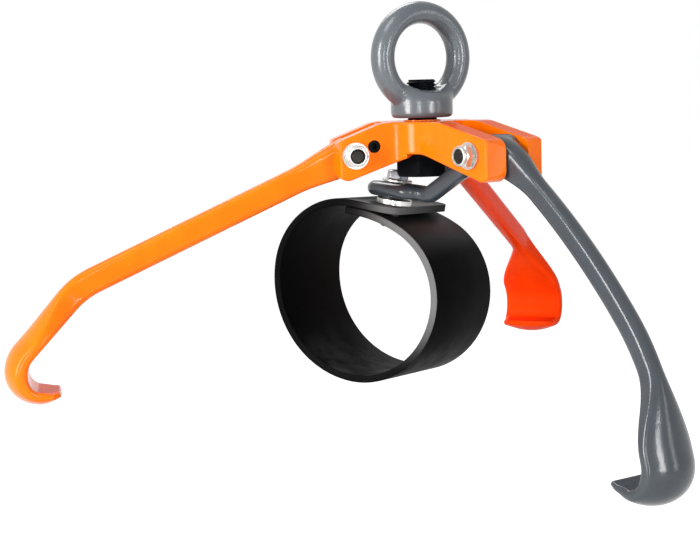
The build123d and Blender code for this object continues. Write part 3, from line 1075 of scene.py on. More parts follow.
@dataclass(frozen=True)
class HexNut(Fastener):
    """Hexagon nut from height 0, with or without a turned collar that is rolled in at its end."""

    flats: float
    height: float
    bore_r: float
    collar_r: float = 0.0
    collar_h: float = 0.0
    corner_cut: float = 1.0
    top_cut: float = 1.4
    cut_slope: float = 0.6
    roll_r: float = 1.0
    mouth: float = 0.8
    collar_mouth: tuple[Pair, ...] = ((0.0, 0.9), (0.5, 0.5), (1.2, 0.0))

    def stops(self) -> list[Stop]:
        """Return the heights and radii of the hexagon, its collar and its mouth.

        Returns:
            The heights with their radii.
        """
        corner = self.flats / 3 ** 0.5
        top, bore = self.height, self.bore_r
        made: list[Stop] = [(0.0, round_r(bore))]
        for share in (0.0, 0.5, 1.0):
            cut = self.corner_cut * (1 - share)
            made.append((self.cut_slope * (self.corner_cut - cut),
                         hexagon_r(self.flats, corner - cut)))
        for share in (1.0, 0.67, 0.33, 0.0):
            cut = self.top_cut * self.corner_cut * (1 - share)
            made.append((top - self.cut_slope * (self.top_cut * self.corner_cut) * share,
                         hexagon_r(self.flats, corner - cut)))
        if not self.collar_h:
            return made + [(top, round_r(bore + self.mouth)), (top - self.mouth, round_r(bore))]
        end = top + self.collar_h
        made.append((top, round_r(self.collar_r)))
        for angle in spread(0.0, QUARTER, 5):
            made.append((end - self.roll_r + self.roll_r * math.sin(angle),
                         round_r(self.collar_r - self.roll_r + self.roll_r * math.cos(angle))))
        return made + [(end - down, round_r(bore + out)) for down, out in self.collar_mouth]


@dataclass(frozen=True)
class Washer(Fastener):
    """Washer with softened edges between two heights."""

    outer_r: float
    inner_r: float
    bottom: float
    top: float
    edge: float = 0.3

    def stops(self) -> list[Stop]:
        """Return the heights and radii from the bore, round the rim and back.

        Returns:
            The heights with their radii.
        """
        outer, inner, edge = self.outer_r, self.inner_r, self.edge
        return [(height, round_r(radius)) for height, radius in (
            (self.bottom, inner), (self.bottom, outer - edge), (self.bottom + edge, outer),
            (self.top - edge, outer), (self.top, outer - edge), (self.top, inner))]


def bend_corner(before: Vector, corner: Vector, after: Vector, radius: float,
                count: int = 7) -> list[Vector]:
    """Round a corner of a polygon.

    Args:
        before: Corner before it.
        corner: The corner.
        after: Corner after it.
        radius: Radius of the rounding.
        count: Number of points on it.

    Returns:
        The points of the rounding.
    """
    to_before = (before - corner).normalized()
    to_after = (after - corner).normalized()
    half = to_before.angle(to_after) / 2
    centre = corner + (to_before + to_after).normalized() * (radius / math.sin(half))
    first = corner + to_before * (radius / math.tan(half)) - centre
    last = corner + to_after * (radius / math.tan(half)) - centre
    return [centre + first.slerp(last, share) for share in spread(0.0, 1.0, count)]


def add_prism(mesh: Mesh, side: Sequence[Vector], half: float) -> None:
    """Add a side view in the plane Y = 0, drawn out to both sides."""
    skin(mesh, [[Vector((point.x, across, point.y)) for point in side] for across in (-half, half)])


# Sub-assemblies


@dataclass(frozen=True)
class ClampLayout:
    """Sizes that several pieces share."""

    arm_spacing: float = math.radians(120)
    slot_w: float = 23.6
    half_hub: float = 29.6
    fixed_bolt_r: float = 59.5
    pivot_r: float = 88.0
    fixed_reach: float = 75.5
    washer_t: float = 2.0
    bolt_d: float = 10.0
    bolt_hex: float = 16.0
    bolt_head_h: float = 6.4
    bolt_pitch: float = 1.5
    bolt_overrun: float = 0.6
    nut_hex_h: float = 7.0
    nut_turn: float = math.radians(30)
    nut_collar_r: float = 7.5
    nut_collar_h: float = 3.0
    thread_play: float = 0.05
    hole_play: float = 0.2

    def spin(self, turn: float) -> Matrix:
        """Return the frame of a fork that points in a direction about the vertical."""
        return Matrix.Rotation(turn, 4, "Z")

    def fork_place(self, turn: float, reach: float, side: int) -> Matrix:
        """Return the frame of a bolt across a fork: its Z points towards the nut.

        Args:
            turn: Direction of the fork about the vertical.
            reach: Distance of the bolt from the clamp's axis.
            side: +1 or -1, the side of the fork that has the nut.

        Returns:
            The frame.
        """
        tip = Matrix.Rotation(-QUARTER * side, 4, "X")
        return self.spin(turn) @ Matrix.Translation((reach, 0, 0)) @ tip


@dataclass(frozen=True)
class ForkBolts:
    """Threaded bolts with lock nuts through the forks of the hub."""

    layout: ClampLayout

    def build(self, shop: Paintshop) -> list[Piece]:
        """Build the bolts and nuts in place of the plain ones.

        Args:
            shop: The finishes.

        Returns:
            The bolts and nuts.
        """
        lay = self.layout
        forks = (
            ("left_arm", -lay.arm_spacing, lay.fixed_bolt_r, 1),
            ("rear_arm", lay.arm_spacing, lay.fixed_bolt_r, -1),
            ("pivot", 0.0, lay.pivot_r, -1),
        )
        grip = lay.half_hub + lay.washer_t
        nut_top = grip + lay.nut_hex_h + lay.nut_collar_h
        made = []
        for name, turn, reach, side in forks:
            place = lay.fork_place(turn, reach, side)
            raised = place @ Matrix.Translation((0, 0, grip)) @ lay.spin(lay.nut_turn)
            screw = HexScrew(
                f"threaded_{name}_bolt", diameter=lay.bolt_d, pitch=lay.bolt_pitch,
                head_flats=lay.bolt_hex, head_bottom=-grip - lay.bolt_head_h, head_top=-grip,
                thread_start=lay.half_hub, end=nut_top + lay.bolt_overrun)
            nut = HexNut(
                f"collared_{name}_nut", flats=lay.bolt_hex, height=lay.nut_hex_h,
                bore_r=lay.bolt_d / 2 + lay.thread_play, collar_r=lay.nut_collar_r,
                collar_h=lay.nut_collar_h)
            made.append(seat(screw.build(place, shop.coat(DARK_STEEL)), Body.FRAME,
                             f"{name}_bolt"))
            made.append(seat(nut.build(raised, shop.coat(ZINC)), Body.FRAME,
                             f"{name}_nut"))
        return made


@dataclass(frozen=True)
class Hook:
    """Shared form of the three hooks: a bar that flares into a wide, curled paddle with a lip."""

    root_length: float = 52.0
    root_h: float = 30.0
    bar_round: float = 5.0
    root_crown: float = 1.0
    root_round: float = 8.0
    flare_length: float = 62.0
    flare_before: float = 6.0
    shank_h: float = 17.5
    full_w: float = 55.0
    thickness: float = 19.0
    crown: float = 10.0
    back_round: float = 3.5
    inner_round: float = 3.0
    curl_r: float = 26.0
    curl_end: float = math.radians(-90)
    mouth_r: float = 19.5
    lip_r: float = 39.0
    lip_root_t: float = 12.5
    lip_root_crown: float = 6.0
    lip_t: float = 5.5
    lip_crown: float = 1.5
    lip_w: float = 40.0
    lip_shoulder: float = 12.0
    lip_knee: float = 0.6
    lip_knee_w: float = 50.0

    def steps(self, shank: float, heading: float, turn: float, lip_turn: float) -> Steps:
        """Return the path of the shank, the hook's back, its mouth and its lip.

        Args:
            shank: Length of the shank.
            heading: Heading of the shank.
            turn: How much further in than usual the hook is turned.
            lip_turn: How far the lip bends up.

        Returns:
            The steps.
        """
        curl = heading - (self.curl_end - turn)
        return ((shank,), (self.curl_r, -curl), (self.mouth_r, -QUARTER), (self.lip_r, -lip_turn))

    def bar(self, track: Track, shank: int, root_w: float, bar_t: float, bar_h: float,
            hook_w: float, bar_crown: float) -> ForgedBar:
        """Return the arm from its root to the tip of its hook.

        Args:
            track: Path of the arm.
            shank: Index of the step before the hook's back.
            root_w: Width at the root.
            bar_t: Width of the bar.
            bar_h: Depth of the bar.
            hook_w: Width of the hook.
            bar_crown: Height of the crown on the bar's back.

        Returns:
            The bar.
        """
        ends = track.ends()
        root, full = self.root_length, ends[shank] - self.flare_before
        flare = full - self.flare_length
        back, lip, tip = ends[shank + 1], ends[shank + 2], ends[-1]
        knee = lip + (tip - lip) * self.lip_knee
        knee_w = hook_w - self.full_w + self.lip_knee_w
        return ForgedBar(
            track=track,
            widths=((0.0, root_w), (root, bar_t), (flare, bar_t), (full, hook_w),
                    (lip - self.lip_shoulder, hook_w), (knee, knee_w), (tip, self.lip_w)),
            depths=((0.0, self.root_h), (root, bar_h), (flare, bar_h), (full, self.shank_h),
                    (back, self.thickness), (lip, self.lip_root_t), (tip, self.lip_t)),
            crowns=((0.0, bar_crown), (flare, bar_crown), (full, self.crown), (back, self.crown),
                    (lip, self.lip_root_crown), (tip, self.lip_crown)),
            back_rounds=((0.0, self.root_round), (root, self.bar_round), (flare, self.bar_round),
                         (full, self.back_round)),
            inner_rounds=((0.0, self.bar_round), (flare, self.bar_round), (full, self.inner_round)))


@dataclass(frozen=True)
class FixedArm:
    """Hook arm that is bolted into a fork of the hub."""

    layout: ClampLayout
    hook: Hook
    slope: float = math.radians(24.1)
    rise: float = 0.5
    length: float = 226.6
    elbow_r: float = 70.0
    elbow_turn: float = math.radians(22.9)
    shank: float = 51.0
    bar_t: float = 13.5
    bar_h: float = 21.0
    bar_crown: float = 1.0
    lip_turn: float = math.radians(22)
    tongue_play: float = 0.1
    tongue_start: float = 34.5
    tongue_flat: float = 37.0
    tongue_top: float = 24.5
    tongue_ear: Pair = (-22.5, 10.0)
    tongue_under: float = -7.8
    ear_round: float = 9.0

    def tongue(self) -> list[Vector]:
        """Return the side view of the tongue that fills the fork's slot.

        Returns:
            The corners and the points of its roundings.
        """
        reach = self.layout.fixed_reach
        low, high = self.tongue_ear
        heel, under, ear, brow, top = (Vector(pair) for pair in (
            (self.tongue_start, self.tongue_under), (reach, low), (reach, high),
            (self.tongue_flat, self.tongue_top), (self.tongue_start, self.tongue_top)))
        return [heel, *bend_corner(heel, under, ear, self.ear_round),
                *bend_corner(under, ear, brow, self.ear_round), brow, top]

    def build(self, name: str, turn: float, material: Material) -> Piece:
        """Build the arm in place of its plain solid.

        Args:
            name: Node that it stands for.
            turn: Direction of its fork about the vertical.
            material: Its finish.

        Returns:
            The arm.
        """
        steps = ((self.length,), (self.elbow_r, -self.elbow_turn))
        steps += self.hook.steps(self.shank, -self.slope - self.elbow_turn, 0.0, self.lip_turn)
        track = Track((self.layout.fixed_bolt_r, self.rise), -self.slope, steps)
        root_w = self.layout.slot_w - 2 * self.tongue_play
        mesh = bmesh.new()
        self.hook.bar(track, 2, root_w, self.bar_t, self.bar_h, self.hook.full_w,
                      self.bar_crown).add(mesh)
        add_prism(mesh, self.tongue(), root_w / 2)
        mesh.transform(TO_PART @ self.layout.spin(turn))
        piece = new_object("forged_" + name, mesh, [material])
        Fettling().apply(piece)
        return seat(piece, Body.FRAME, name)


@dataclass(frozen=True)
class SlottedEye:
    """Long eye of round bar at the lever's inner end, and where the band's bolt stands in it."""

    tilt: float = math.radians(3.5)
    roll: float = math.radians(5.6)
    bar_d: float = 12.0
    slot_w: float = 13.0
    slot_l: float = 28.0
    bolt_at: float = 8.0
    bolt_lean: float = math.radians(4.2)
    pitch: float = 1.5
    segments: int = 28

    @property
    def middle_r(self) -> float:
        """Radius of the middle of the bar at the eye's ends."""
        return (self.slot_w + self.bar_d) / 2

    def place(self, end: Vector) -> Matrix:
        """Return the eye's frame, whose origin is where the tail's path ends."""
        return (Matrix.Translation((end.x, 0, end.y)) @ Matrix.Rotation(self.tilt, 4, "Y")
                @ Matrix.Rotation(-self.roll, 4, "X"))

    def bolt_place(self, end: Vector) -> Matrix:
        """Return the frame of the band's bolt, at the middle of the bar."""
        reach = Matrix.Translation((-self.middle_r - self.slot_l + self.bolt_at, 0, 0))
        return self.place(end) @ reach @ Matrix.Rotation(self.bolt_lean, 4, "Y")

    def seat_height(self, diameter: float) -> float:
        """Return the distance from the bar's middle at which a leaning washer clears it."""
        lean = self.bolt_lean
        return (self.bar_d / 2 + diameter / 2 * math.sin(lean)) / math.cos(lean)

    def add(self, mesh: Mesh, end: Vector) -> None:
        """Add the eye to a mesh as a closed loop of round bar.

        Args:
            mesh: Mesh to add to.
            end: Where the tail's path ends.
        """
        arc = (self.middle_r, math.pi)
        track = Track((-self.middle_r, self.middle_r), math.pi,
                      ((self.slot_l,), arc, (self.slot_l,), arc))
        length = track.ends()[-1]
        count = round(length / self.pitch)
        rings = []
        for i in range(count):
            point, heading = track.at(length * i / count)
            side = left_of(heading)
            ring = []
            for angle in turns(self.segments):
                out = self.bar_d / 2 * math.cos(angle)
                up = self.bar_d / 2 * math.sin(angle)
                ring.append(self.place(end) @ Vector(
                    (point.x + side.x * out, point.y + side.y * out, up)))
            rings.append(ring)
        skin(mesh, rings, looped=True)


@dataclass(frozen=True)
class Lever:
    """Pivoted hook lever: hook, bowed bar, boss, tail and slotted eye."""

    layout: ClampLayout
    hook: Hook
    eye: SlottedEye
    side_play: float = 0.3
    start: float = math.radians(-12.5)
    boss_r: float = 15.2
    boss_segments: int = 64
    bar_t: float = 14.5
    bar_h: float = 17.5
    bar_crown: float = 3.6
    shoulder: Pair = (60.0, math.radians(-24.3))
    bow: Pair = (580.0, math.radians(-15.3))
    elbow: Pair = (178.0, math.radians(-23.2))
    shank: float = 32.0
    hook_turn: float = math.radians(19)
    hook_w: float = 50.0
    lip_turn: float = math.radians(4)
    lip_more: float = 14.5
    tail_heading: float = math.radians(196)
    tail_length: float = 31.1
    tail_dip: Pair = (40.0, math.radians(11.8))
    tail_drop: float = 43.6
    tail_bend_r: float = 16.0
    tail_d: float = 14.3
    tail_taper: float = 48.0
    tail_end_h: float = 10.5

    def outer(self) -> Track:
        """Return the path from the pivot to the tip of the hook.

        Returns:
            The path.
        """
        heading = self.start + self.shoulder[1] + self.bow[1] + self.elbow[1]
        hook = self.hook.steps(self.shank, heading, self.hook_turn, self.lip_turn)
        steps = (self.shoulder, self.bow, self.elbow, *hook, (self.lip_more,))
        return Track((self.layout.pivot_r, 0.0), self.start, steps)

    def inner(self) -> Track:
        """Return the path from the pivot to the near end of the eye.

        Returns:
            The path.
        """
        bend = self.tail_heading + self.tail_dip[1] - (math.pi - self.eye.tilt)
        steps = ((self.tail_length,), self.tail_dip, (self.tail_drop,), (self.tail_bend_r, -bend),
                 (self.eye.bar_d / 2,))
        return Track((self.layout.pivot_r, 0.0), self.tail_heading, steps)

    def tail_end(self) -> Vector:
        """Return where the tail runs into the eye."""
        track = self.inner()
        return track.at(track.ends()[-1])[0]

    def tail(self, fork_t: float) -> ForgedBar:
        """Return the tail, from the boss to the eye.

        Args:
            fork_t: Width of the lever in the fork.

        Returns:
            The tail.
        """
        track = self.inner()
        end = track.ends()[-1]
        swell = end - self.eye.bar_d
        end_w = self.eye.slot_w + self.eye.bar_d / 2
        taper, across, crown = self.tail_taper, self.tail_d, self.hook.root_crown
        rounds = ((0.0, self.hook.bar_round), (self.tail_length, across / 2))
        return ForgedBar(
            track=track,
            widths=((0.0, fork_t), (taper, across), (swell, across), (end, end_w)),
            depths=((0.0, self.hook.root_h), (taper, across), (swell, across),
                    (end, self.tail_end_h)),
            crowns=((0.0, crown), (end, crown)), back_rounds=rounds, inner_rounds=rounds)

    def build(self, material: Material) -> Piece:
        """Build the lever in place of its plain solid.

        Args:
            material: Its finish.

        Returns:
            The lever.
        """
        fork_t = self.layout.slot_w - 2 * self.side_play
        mesh = bmesh.new()
        self.hook.bar(self.outer(), 3, fork_t, self.bar_t, self.bar_h, self.hook_w,
                      self.bar_crown).add(mesh)
        self.tail(fork_t).add(mesh)
        across = (Matrix.Translation((self.layout.pivot_r, 0, 0))
                  @ Matrix.Rotation(QUARTER, 4, "X"))
        skin(mesh, [ring_at(across, height, round_r(self.boss_r), self.boss_segments)
                    for height in (-fork_t / 2, fork_t / 2)])
        self.eye.add(mesh, self.tail_end())
        mesh.transform(TO_PART)
        piece = new_object("forged_lever", mesh, [material])
        Fettling().apply(piece)
        return seat(piece, Body.LEVER, "lever")


@dataclass(frozen=True)
class EyeNut:
    """Forged eye nut whose foot runs up into its ring."""

    turn: float = math.radians(82)
    foot: float = 28.0
    foot_r: float = 25.0
    foot_h: float = 15.0
    foot_chamfer: float = 2.0
    foot_segments: int = 96
    neck_top: float = 27.0
    neck_half: Pair = (33.0, 11.0)
    rise: float = 48.0
    ring_r: float = 36.0
    section: Pair = (9.0, 11.0)
    ring_segments: int = 128
    section_segments: int = 40
    fettling: Fettling = Fettling(voxel=1.0, passes=26)

    def build(self, material: Material) -> Piece:
        """Build the nut in place of its plain solid.

        Args:
            material: Its finish.

        Returns:
            The nut.
        """
        place = Matrix.Rotation(self.turn, 4, "Z") @ Matrix.Translation((0, 0, self.foot))
        mesh = bmesh.new()
        skin(mesh, [self.trim(ring_at(Matrix.Identity(4), height, radius, self.foot_segments))
                    for height, radius in self.foot_stops()])
        rings = []
        for angle in turns(self.ring_segments):
            ring = []
            for phase in turns(self.section_segments):
                r = self.ring_r + self.section[0] * math.cos(phase)
                ring.append(Vector((r * math.cos(angle), self.section[1] * math.sin(phase),
                                    self.rise + r * math.sin(angle))))
            rings.append(ring)
        skin(mesh, rings, looped=True)
        mesh.transform(TO_PART @ place)
        piece = new_object("forged_eye_nut", mesh, [material])
        self.fettling.apply(piece)
        return seat(piece, Body.EYE, "eye_nut")

    def foot_stops(self) -> list[Stop]:
        """Return the heights and radii of the foot and of the neck that runs into the ring.

        Returns:
            The heights with their radii.
        """
        foot = round_r(self.foot_r)
        made: list[Stop] = [(0.0, round_r(self.foot_r - self.foot_chamfer)),
                            (self.foot_chamfer, foot), (self.foot_h, foot)]
        for share in (0.25, 0.5, 0.75, 1.0):
            long, short = (self.foot_r + (half - self.foot_r) * share for half in self.neck_half)
            made.append((self.foot_h + (self.neck_top - self.foot_h) * share, oval_r(long, short)))
        return made

    def trim(self, ring: Ring) -> Ring:
        """Keep points out of the ring's hole.

        Args:
            ring: Points of the foot or the neck.

        Returns:
            The points, lowered where they would stand in the hole.
        """
        throat = self.ring_r - self.section[0]
        made = []
        for point in ring:
            floor = self.rise - math.sqrt(max(0.0, throat ** 2 - point.x ** 2))
            inside = abs(point.x) < throat
            made.append(Vector((point.x, point.y, min(point.z, floor))) if inside else point)
        return made


@dataclass(frozen=True)
class EyeScrew:
    """Threaded screw that hangs the hub from the eye nut."""

    diameter: float = 24.0
    pitch: float = 3.0
    head_flats: float = 39.0
    head_top: float = -3.0
    head_h: float = 16.0
    corner_cut: float = 3.0
    turn: float = math.radians(40)
    thread_start: float = 26.0
    end: float = 58.5
    end_chamfer: float = 2.0

    def build(self, material: Material) -> Piece:
        """Build the screw in place of the plain one.

        Args:
            material: Its finish.

        Returns:
            The screw.
        """
        screw = HexScrew(
            "threaded_eye_screw", diameter=self.diameter, pitch=self.pitch,
            head_flats=self.head_flats, head_bottom=self.head_top - self.head_h,
            head_top=self.head_top, thread_start=self.thread_start, end=self.end,
            end_chamfer=self.end_chamfer, corner_cut=self.corner_cut)
        piece = screw.build(Matrix.Rotation(self.turn, 4, "Z"), material)
        return seat(piece, Body.EYE, "eye_screw")


@dataclass(frozen=True)
class RubberLoop:
    """Rolled strip of belt rubber, and the bolt that holds its tab under the lever's eye."""

    layout: ClampLayout
    lever: Lever
    width: float = 100.0
    thickness: float = 6.0
    bolt_offset: float = 25.5
    turn: float = math.radians(21.2)
    tab_free: float = 14.5
    tab_back: float = 27.8
    tab_round: float = 12.0
    r_left: float = 61.2
    r_low: float = 81.7
    r_top: float = 120.8
    top_turn: float = math.radians(21.1)
    lap_end: float = 8.5
    lap_shift: float = 5.0
    lap_gap: float = 0.3
    edge_round: float = 0.9
    edge_facing: float = 0.5
    smooth_angle: float = 40.0
    pitch: float = 3.0
    round_points: int = 9
    edge_points: int = 4
    spacer_d: float = 29.0
    spacer_t: float = 5.0
    spacer_edge: float = 0.6
    washer_d: float = 25.0
    inner_washer_d: float = 22.0
    nut_h: float = 7.0
    inner_washer_t: float = 1.2
    head_h: float = 2.8
    bite: float = 0.55

    def track(self) -> Track:
        """Return the path of the strip's middle, from its free end.

        Returns:
            The path.
        """
        rest = QUARTER - self.top_turn
        rise = self.r_top * (1 - math.cos(self.top_turn))
        run = self.r_top * math.sin(self.top_turn)
        height = self.r_left + self.r_low - self.thickness - self.lap_gap - rise
        width = self.lap_shift + run + self.r_left - self.r_low
        r_upper = (height - width) / (math.sin(rest) + 1 - math.cos(rest))
        r_right = height - math.sin(rest) * r_upper
        steps = ((self.tab_free + self.tab_back,), (self.r_left, QUARTER), (self.r_low, QUARTER),
                 (r_right, QUARTER), (r_upper, rest), (self.r_top, self.top_turn), (self.lap_end,))
        return Track((self.tab_free, -self.thickness / 2), math.pi, steps)

    def half_width(self, distance: float) -> float:
        """Return half the strip's width at a distance from its free end, whose corners are round.

        Args:
            distance: Distance along the strip.

        Returns:
            Half the width.
        """
        inset = max(0.0, self.tab_round - distance)
        round_in = math.sqrt(max(0.0, self.tab_round ** 2 - inset ** 2))
        return self.width / 2 - self.tab_round + round_in

    def section(self, half: float) -> list[Pair]:
        """Draw the strip's section.

        Args:
            half: Half the strip's width.

        Returns:
            Points across the strip and outwards from its middle.
        """
        t, r = self.thickness / 2, self.edge_round
        arcs = ((half - r, t - r), (-half + r, t - r), (-half + r, -t + r), (half - r, -t + r))
        points = []
        for quarter, (across, out) in enumerate(arcs):
            for share in spread(0.0, 1.0, self.edge_points):
                angle = (quarter + share) * QUARTER
                points.append((across + r * math.cos(angle), out + r * math.sin(angle)))
        return points

    def build(self, shop: Paintshop) -> list[Piece]:
        """Build the loop and its fasteners in place of the plain ones.

        Args:
            shop: The finishes.

        Returns:
            The loop first, then its fasteners.
        """
        eye = self.lever.eye
        bolt = eye.bolt_place(self.lever.tail_end())
        tab_top = -eye.seat_height(self.spacer_d) - self.spacer_t
        place = bolt @ Matrix.Translation((0, 0, tab_top)) @ Matrix.Rotation(self.turn, 4, "Z")
        return [self._strip(TO_PART @ place, shop), *self._fasteners(bolt, tab_top, shop)]

    def _strip(self, place: Matrix, shop: Paintshop) -> Piece:
        """Build the rolled strip.

        Args:
            place: Frame of its bolt at the top of the tab, in the part.
            shop: The finishes.

        Returns:
            The strip.
        """
        track = self.track()
        length = track.ends()[-1]
        distances = [self.tab_round * (1 - math.cos(angle))
                     for angle in spread(0.0, QUARTER, self.round_points)]
        distances += spread(self.tab_round, length, round(length / self.pitch))[1:]
        rings = []
        for distance in distances:
            point, heading = track.at(distance)
            outwards = -left_of(heading)
            ring = []
            for across, out in self.section(self.half_width(distance)):
                flat = point + outwards * out
                ring.append(place @ Vector((flat.x, self.bolt_offset + across, flat.y)))
            rings.append(ring)
        mesh = bmesh.new()
        skin(mesh, rings)
        self._mark_cut_edges(mesh, place.inverted())
        piece = new_object("rolled_rubber_loop", mesh,
                           [shop.coat(RUBBER), shop.coat(CUT_RUBBER)], self.smooth_angle)
        return seat(piece, Body.LEVER, "band")

    def _mark_cut_edges(self, mesh: Mesh, to_tab: Matrix) -> None:
        """Give the faces of the cut edges the second material.

        Args:
            mesh: Mesh of the strip.
            to_tab: Turns the part's frame into the tab's.
        """
        mesh.normal_update()
        for face in mesh.faces:
            at = to_tab @ face.calc_center_median()
            way = (to_tab.to_3x3() @ face.normal).normalized()
            near_end = at.z > -self.thickness and at.x > self.tab_free - self.tab_round
            tab_edge = near_end and abs(way.z) < self.edge_facing
            end_cap = len(face.verts) > 4
            face.material_index = int(tab_edge or abs(way.y) > self.edge_facing or end_cap)

    def _fasteners(self, bolt: Matrix, tab_top: float, shop: Paintshop) -> list[Piece]:
        """Build the spacer, the washers, the nut and the bolt.

        Args:
            bolt: Frame of the bolt.
            tab_top: Height of the tab's upper face in it.
            shop: The finishes.

        Returns:
            The fasteners.
        """
        lay = self.layout
        reach = self.inner_washer_d / 2 + self.tab_back - self.lap_shift
        sag = self.r_top - math.sqrt(self.r_top ** 2 - reach ** 2)
        head_top = tab_top - 2 * self.thickness - self.lap_gap - sag * (1 - self.bite)
        above = self.lever.eye.seat_height(self.washer_d)
        nut_bottom = above + lay.washer_t
        hole = lay.bolt_d / 2 + lay.hole_play
        grip = head_top - self.inner_washer_t
        raised = bolt @ Matrix.Translation((0, 0, nut_bottom))
        screw = HexScrew(
            "threaded_loop_bolt", diameter=lay.bolt_d, pitch=lay.bolt_pitch,
            head_flats=lay.bolt_hex, head_bottom=grip - self.head_h, head_top=grip,
            thread_start=above, end=nut_bottom + self.nut_h + lay.bolt_overrun)
        rows = (
            ("band_spacer", bolt, ZINC,
             Washer("loop_spacer", self.spacer_d / 2, hole, tab_top, tab_top + self.spacer_t,
                    self.spacer_edge)),
            ("band_top_washer", bolt, ZINC,
             Washer("loop_top_washer", self.washer_d / 2, hole, above, nut_bottom)),
            ("band_inner_washer", bolt, ZINC,
             Washer("loop_inner_washer", self.inner_washer_d / 2, hole, grip, head_top)),
            ("band_nut", raised, DULL_ZINC,
             HexNut("loop_nut", lay.bolt_hex, self.nut_h, lay.bolt_d / 2 + lay.thread_play)),
            ("band_bolt", bolt, DARK_STEEL, screw),
        )
        return [seat(part.build(place, shop.coat(finish)), Body.LEVER, node)
                for node, place, finish, part in rows]


# Studio


@dataclass(frozen=True)
class Viewpoint:
    """The photograph's camera."""

    position: tuple[float, float, float] = (1.1040, -0.9582, -0.0146)
    heading: float = math.radians(141.449)
    dip: float = math.radians(5.995)
    roll: float = math.radians(-1.555)
    focal_px: float = 1806.5
    width_px: int = 700
    sensor: float = 36.0

    def build(self) -> None:
        """Make the camera and make it the scene's own."""
        level = Vector((math.cos(self.heading), math.sin(self.heading), 0))
        up = Vector((0, 0, 1))
        ahead = level * math.cos(self.dip) - up * math.sin(self.dip)
        right = ahead.cross(up).normalized()
        above = right.cross(ahead)
        turned_right = right * math.cos(self.roll) + above * math.sin(self.roll)
        turned_up = above * math.cos(self.roll) - right * math.sin(self.roll)
        data = bpy.data.cameras.new("photo_view")
        data.sensor_width = self.sensor
        data.lens = self.focal_px * self.sensor / self.width_px
        camera = bpy.data.objects.new("photo_view", data)
        axes = Matrix((turned_right, turned_up, -ahead)).transposed()
        camera.matrix_world = Matrix.Translation(self.position) @ axes.to_4x4()
        bpy.context.scene.collection.objects.link(camera)
        bpy.context.scene.camera = camera


@dataclass(frozen=True)
class Softbox:
    """Area lamp that stands round the clamp, by angle from the camera."""

    name: str
    angle: float
    rise: float
    distance: float
    size: Pair
    power: float

    def build(self, heading: float, target: Vector) -> None:
        """Make the lamp and aim it.

        Args:
            heading: Direction that the camera looks in.
            target: Point that the lamp lights.
        """
        data = bpy.data.lights.new(self.name, "AREA")
        data.shape = "RECTANGLE"
        data.size, data.size_y = self.size
        data.energy = self.power
        turn = heading + math.pi + math.radians(self.angle)
        rise = math.radians(self.rise)
        way = Vector((math.cos(turn) * math.cos(rise), math.sin(turn) * math.cos(rise),
                      math.sin(rise)))
        lamp = bpy.data.objects.new(self.name, data)
        lamp.location = target + way * self.distance
        lamp.rotation_euler = (-way).to_track_quat("-Z", "Y").to_euler()
        bpy.context.scene.collection.objects.link(lamp)


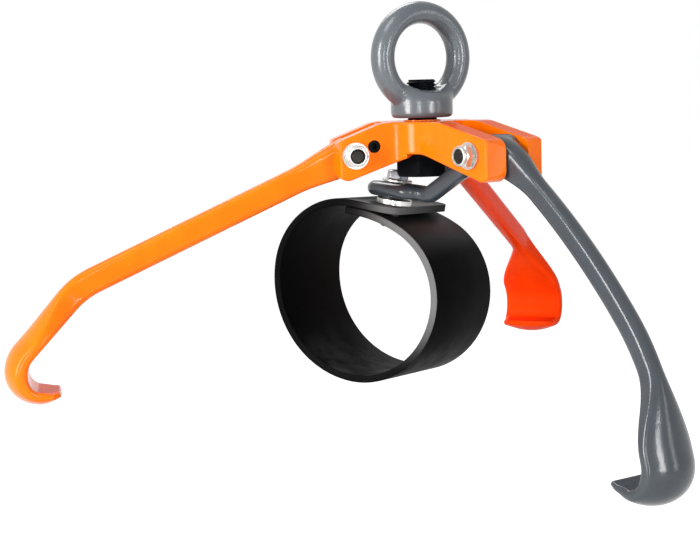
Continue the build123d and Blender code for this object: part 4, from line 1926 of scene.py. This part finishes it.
@dataclass(frozen=True)
class Studio:
    """Pale floor, white surroundings and soft lamps."""

    view: Viewpoint
    shop: Paintshop
    floor_z: float = -0.62
    floor_half: float = 14.0
    floor_shades: Pair = (0.5, 0.53)
    floor_grain: float = 6.0
    floor_roughness: float = 0.9
    floor_lift: float = 0.95
    sky_level: float = 0.13
    target: tuple[float, float, float] = (0.02, 0.0, -0.14)
    lamps: tuple[Softbox, ...] = (
        Softbox("left_softbox", -57.0, 10.0, 2.2, (0.6, 1.5), 56.0),
        Softbox("front_strip", -11.0, 4.0, 2.0, (0.07, 1.0), 12.0),
        Softbox("lever_softbox", 33.0, 4.0, 2.2, (0.42, 0.9), 21.0),
        Softbox("right_softbox", 64.0, 6.0, 2.4, (0.2, 1.2), 5.0),
        Softbox("top_softbox", -55.0, 60.0, 2.0, (0.8, 0.8), 10.0),
        Softbox("back_softbox", -165.0, 42.0, 2.4, (1.2, 0.9), 16.0),
    )

    def build(self) -> None:
        """Make the floor, the surroundings and the lamps."""
        bpy.context.scene.view_settings.view_transform = "Standard"
        self._floor()
        self._world()
        for lamp in self.lamps:
            lamp.build(self.view.heading, Vector(self.target))

    def _floor(self) -> None:
        """Make a wide floor that is white to the rays that see it and keeps its shadows."""
        h = self.floor_half
        mesh = bmesh.new()
        mesh.faces.new([mesh.verts.new((x, y, self.floor_z))
                        for x, y in ((-h, -h), (h, -h), (h, h), (-h, h))])
        pale = Coating("pale_floor")
        grain = pale.effect(self.shop.effects.mottle, Scale=self.floor_grain)
        dark, light = ((shade,) * 3 for shade in self.floor_shades)
        pale.feed(pale.blend(grain, dark, light), "Base Color")
        pale.constant(Roughness=self.floor_roughness, Specular_IOR_Level=0.0,
                      Emission_Color=(1.0, 1.0, 1.0, 1.0))
        pale.feed(pale.level(pale.seen(), 0.0, self.floor_lift), "Emission Strength")
        new_object("floor", mesh, [pale.material])

    def _world(self) -> None:
        """Make surroundings that are white where they are seen and softer as light."""
        world = bpy.data.worlds.new("white_studio")
        world.use_nodes = True
        bpy.context.scene.world = world
        sky = NodeBench(world.node_tree)
        back = world.node_tree.nodes["Background"]
        back.inputs["Color"].default_value = (1.0, 1.0, 1.0, 1.0)
        sky.fill(back.inputs["Strength"], sky.ramp(sky.seen(), end=(self.sky_level, 1.0)))


def main() -> None:
    """Load the frame, dress its solids, add the made pieces and set up the studio."""
    logging.basicConfig(level=logging.INFO, format="%(name)s: %(message)s")
    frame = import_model()
    shop = Paintshop()
    shop.dress_solids(frame)
    layout = ClampLayout()
    hook = Hook()
    arm = FixedArm(layout, hook)
    lever = Lever(layout, hook, SlottedEye())
    pieces = [
        arm.build("left_arm", -layout.arm_spacing, shop.coat(ORANGE)),
        # The rear arm wears the orange paint painted darker as painted shade.
        arm.build("rear_arm", layout.arm_spacing, shop.coat(SHADED_ORANGE)),
        # The lever wears the grey paint painted darker as painted shade.
        lever.build(shop.coat(SHADED_GREY)),
        EyeNut().build(shop.coat(GREY)),
        EyeScrew().build(shop.coat(OXIDE)),
        *ForkBolts(layout).build(shop),
        *RubberLoop(layout, lever).build(shop),
    ]
    for piece in pieces:
        LOG.info("built %s with %d faces", piece.name, len(piece.data.polygons))
    view = Viewpoint()
    view.build()
    Studio(view, shop).build()


if __name__ == "__main__":
    main()
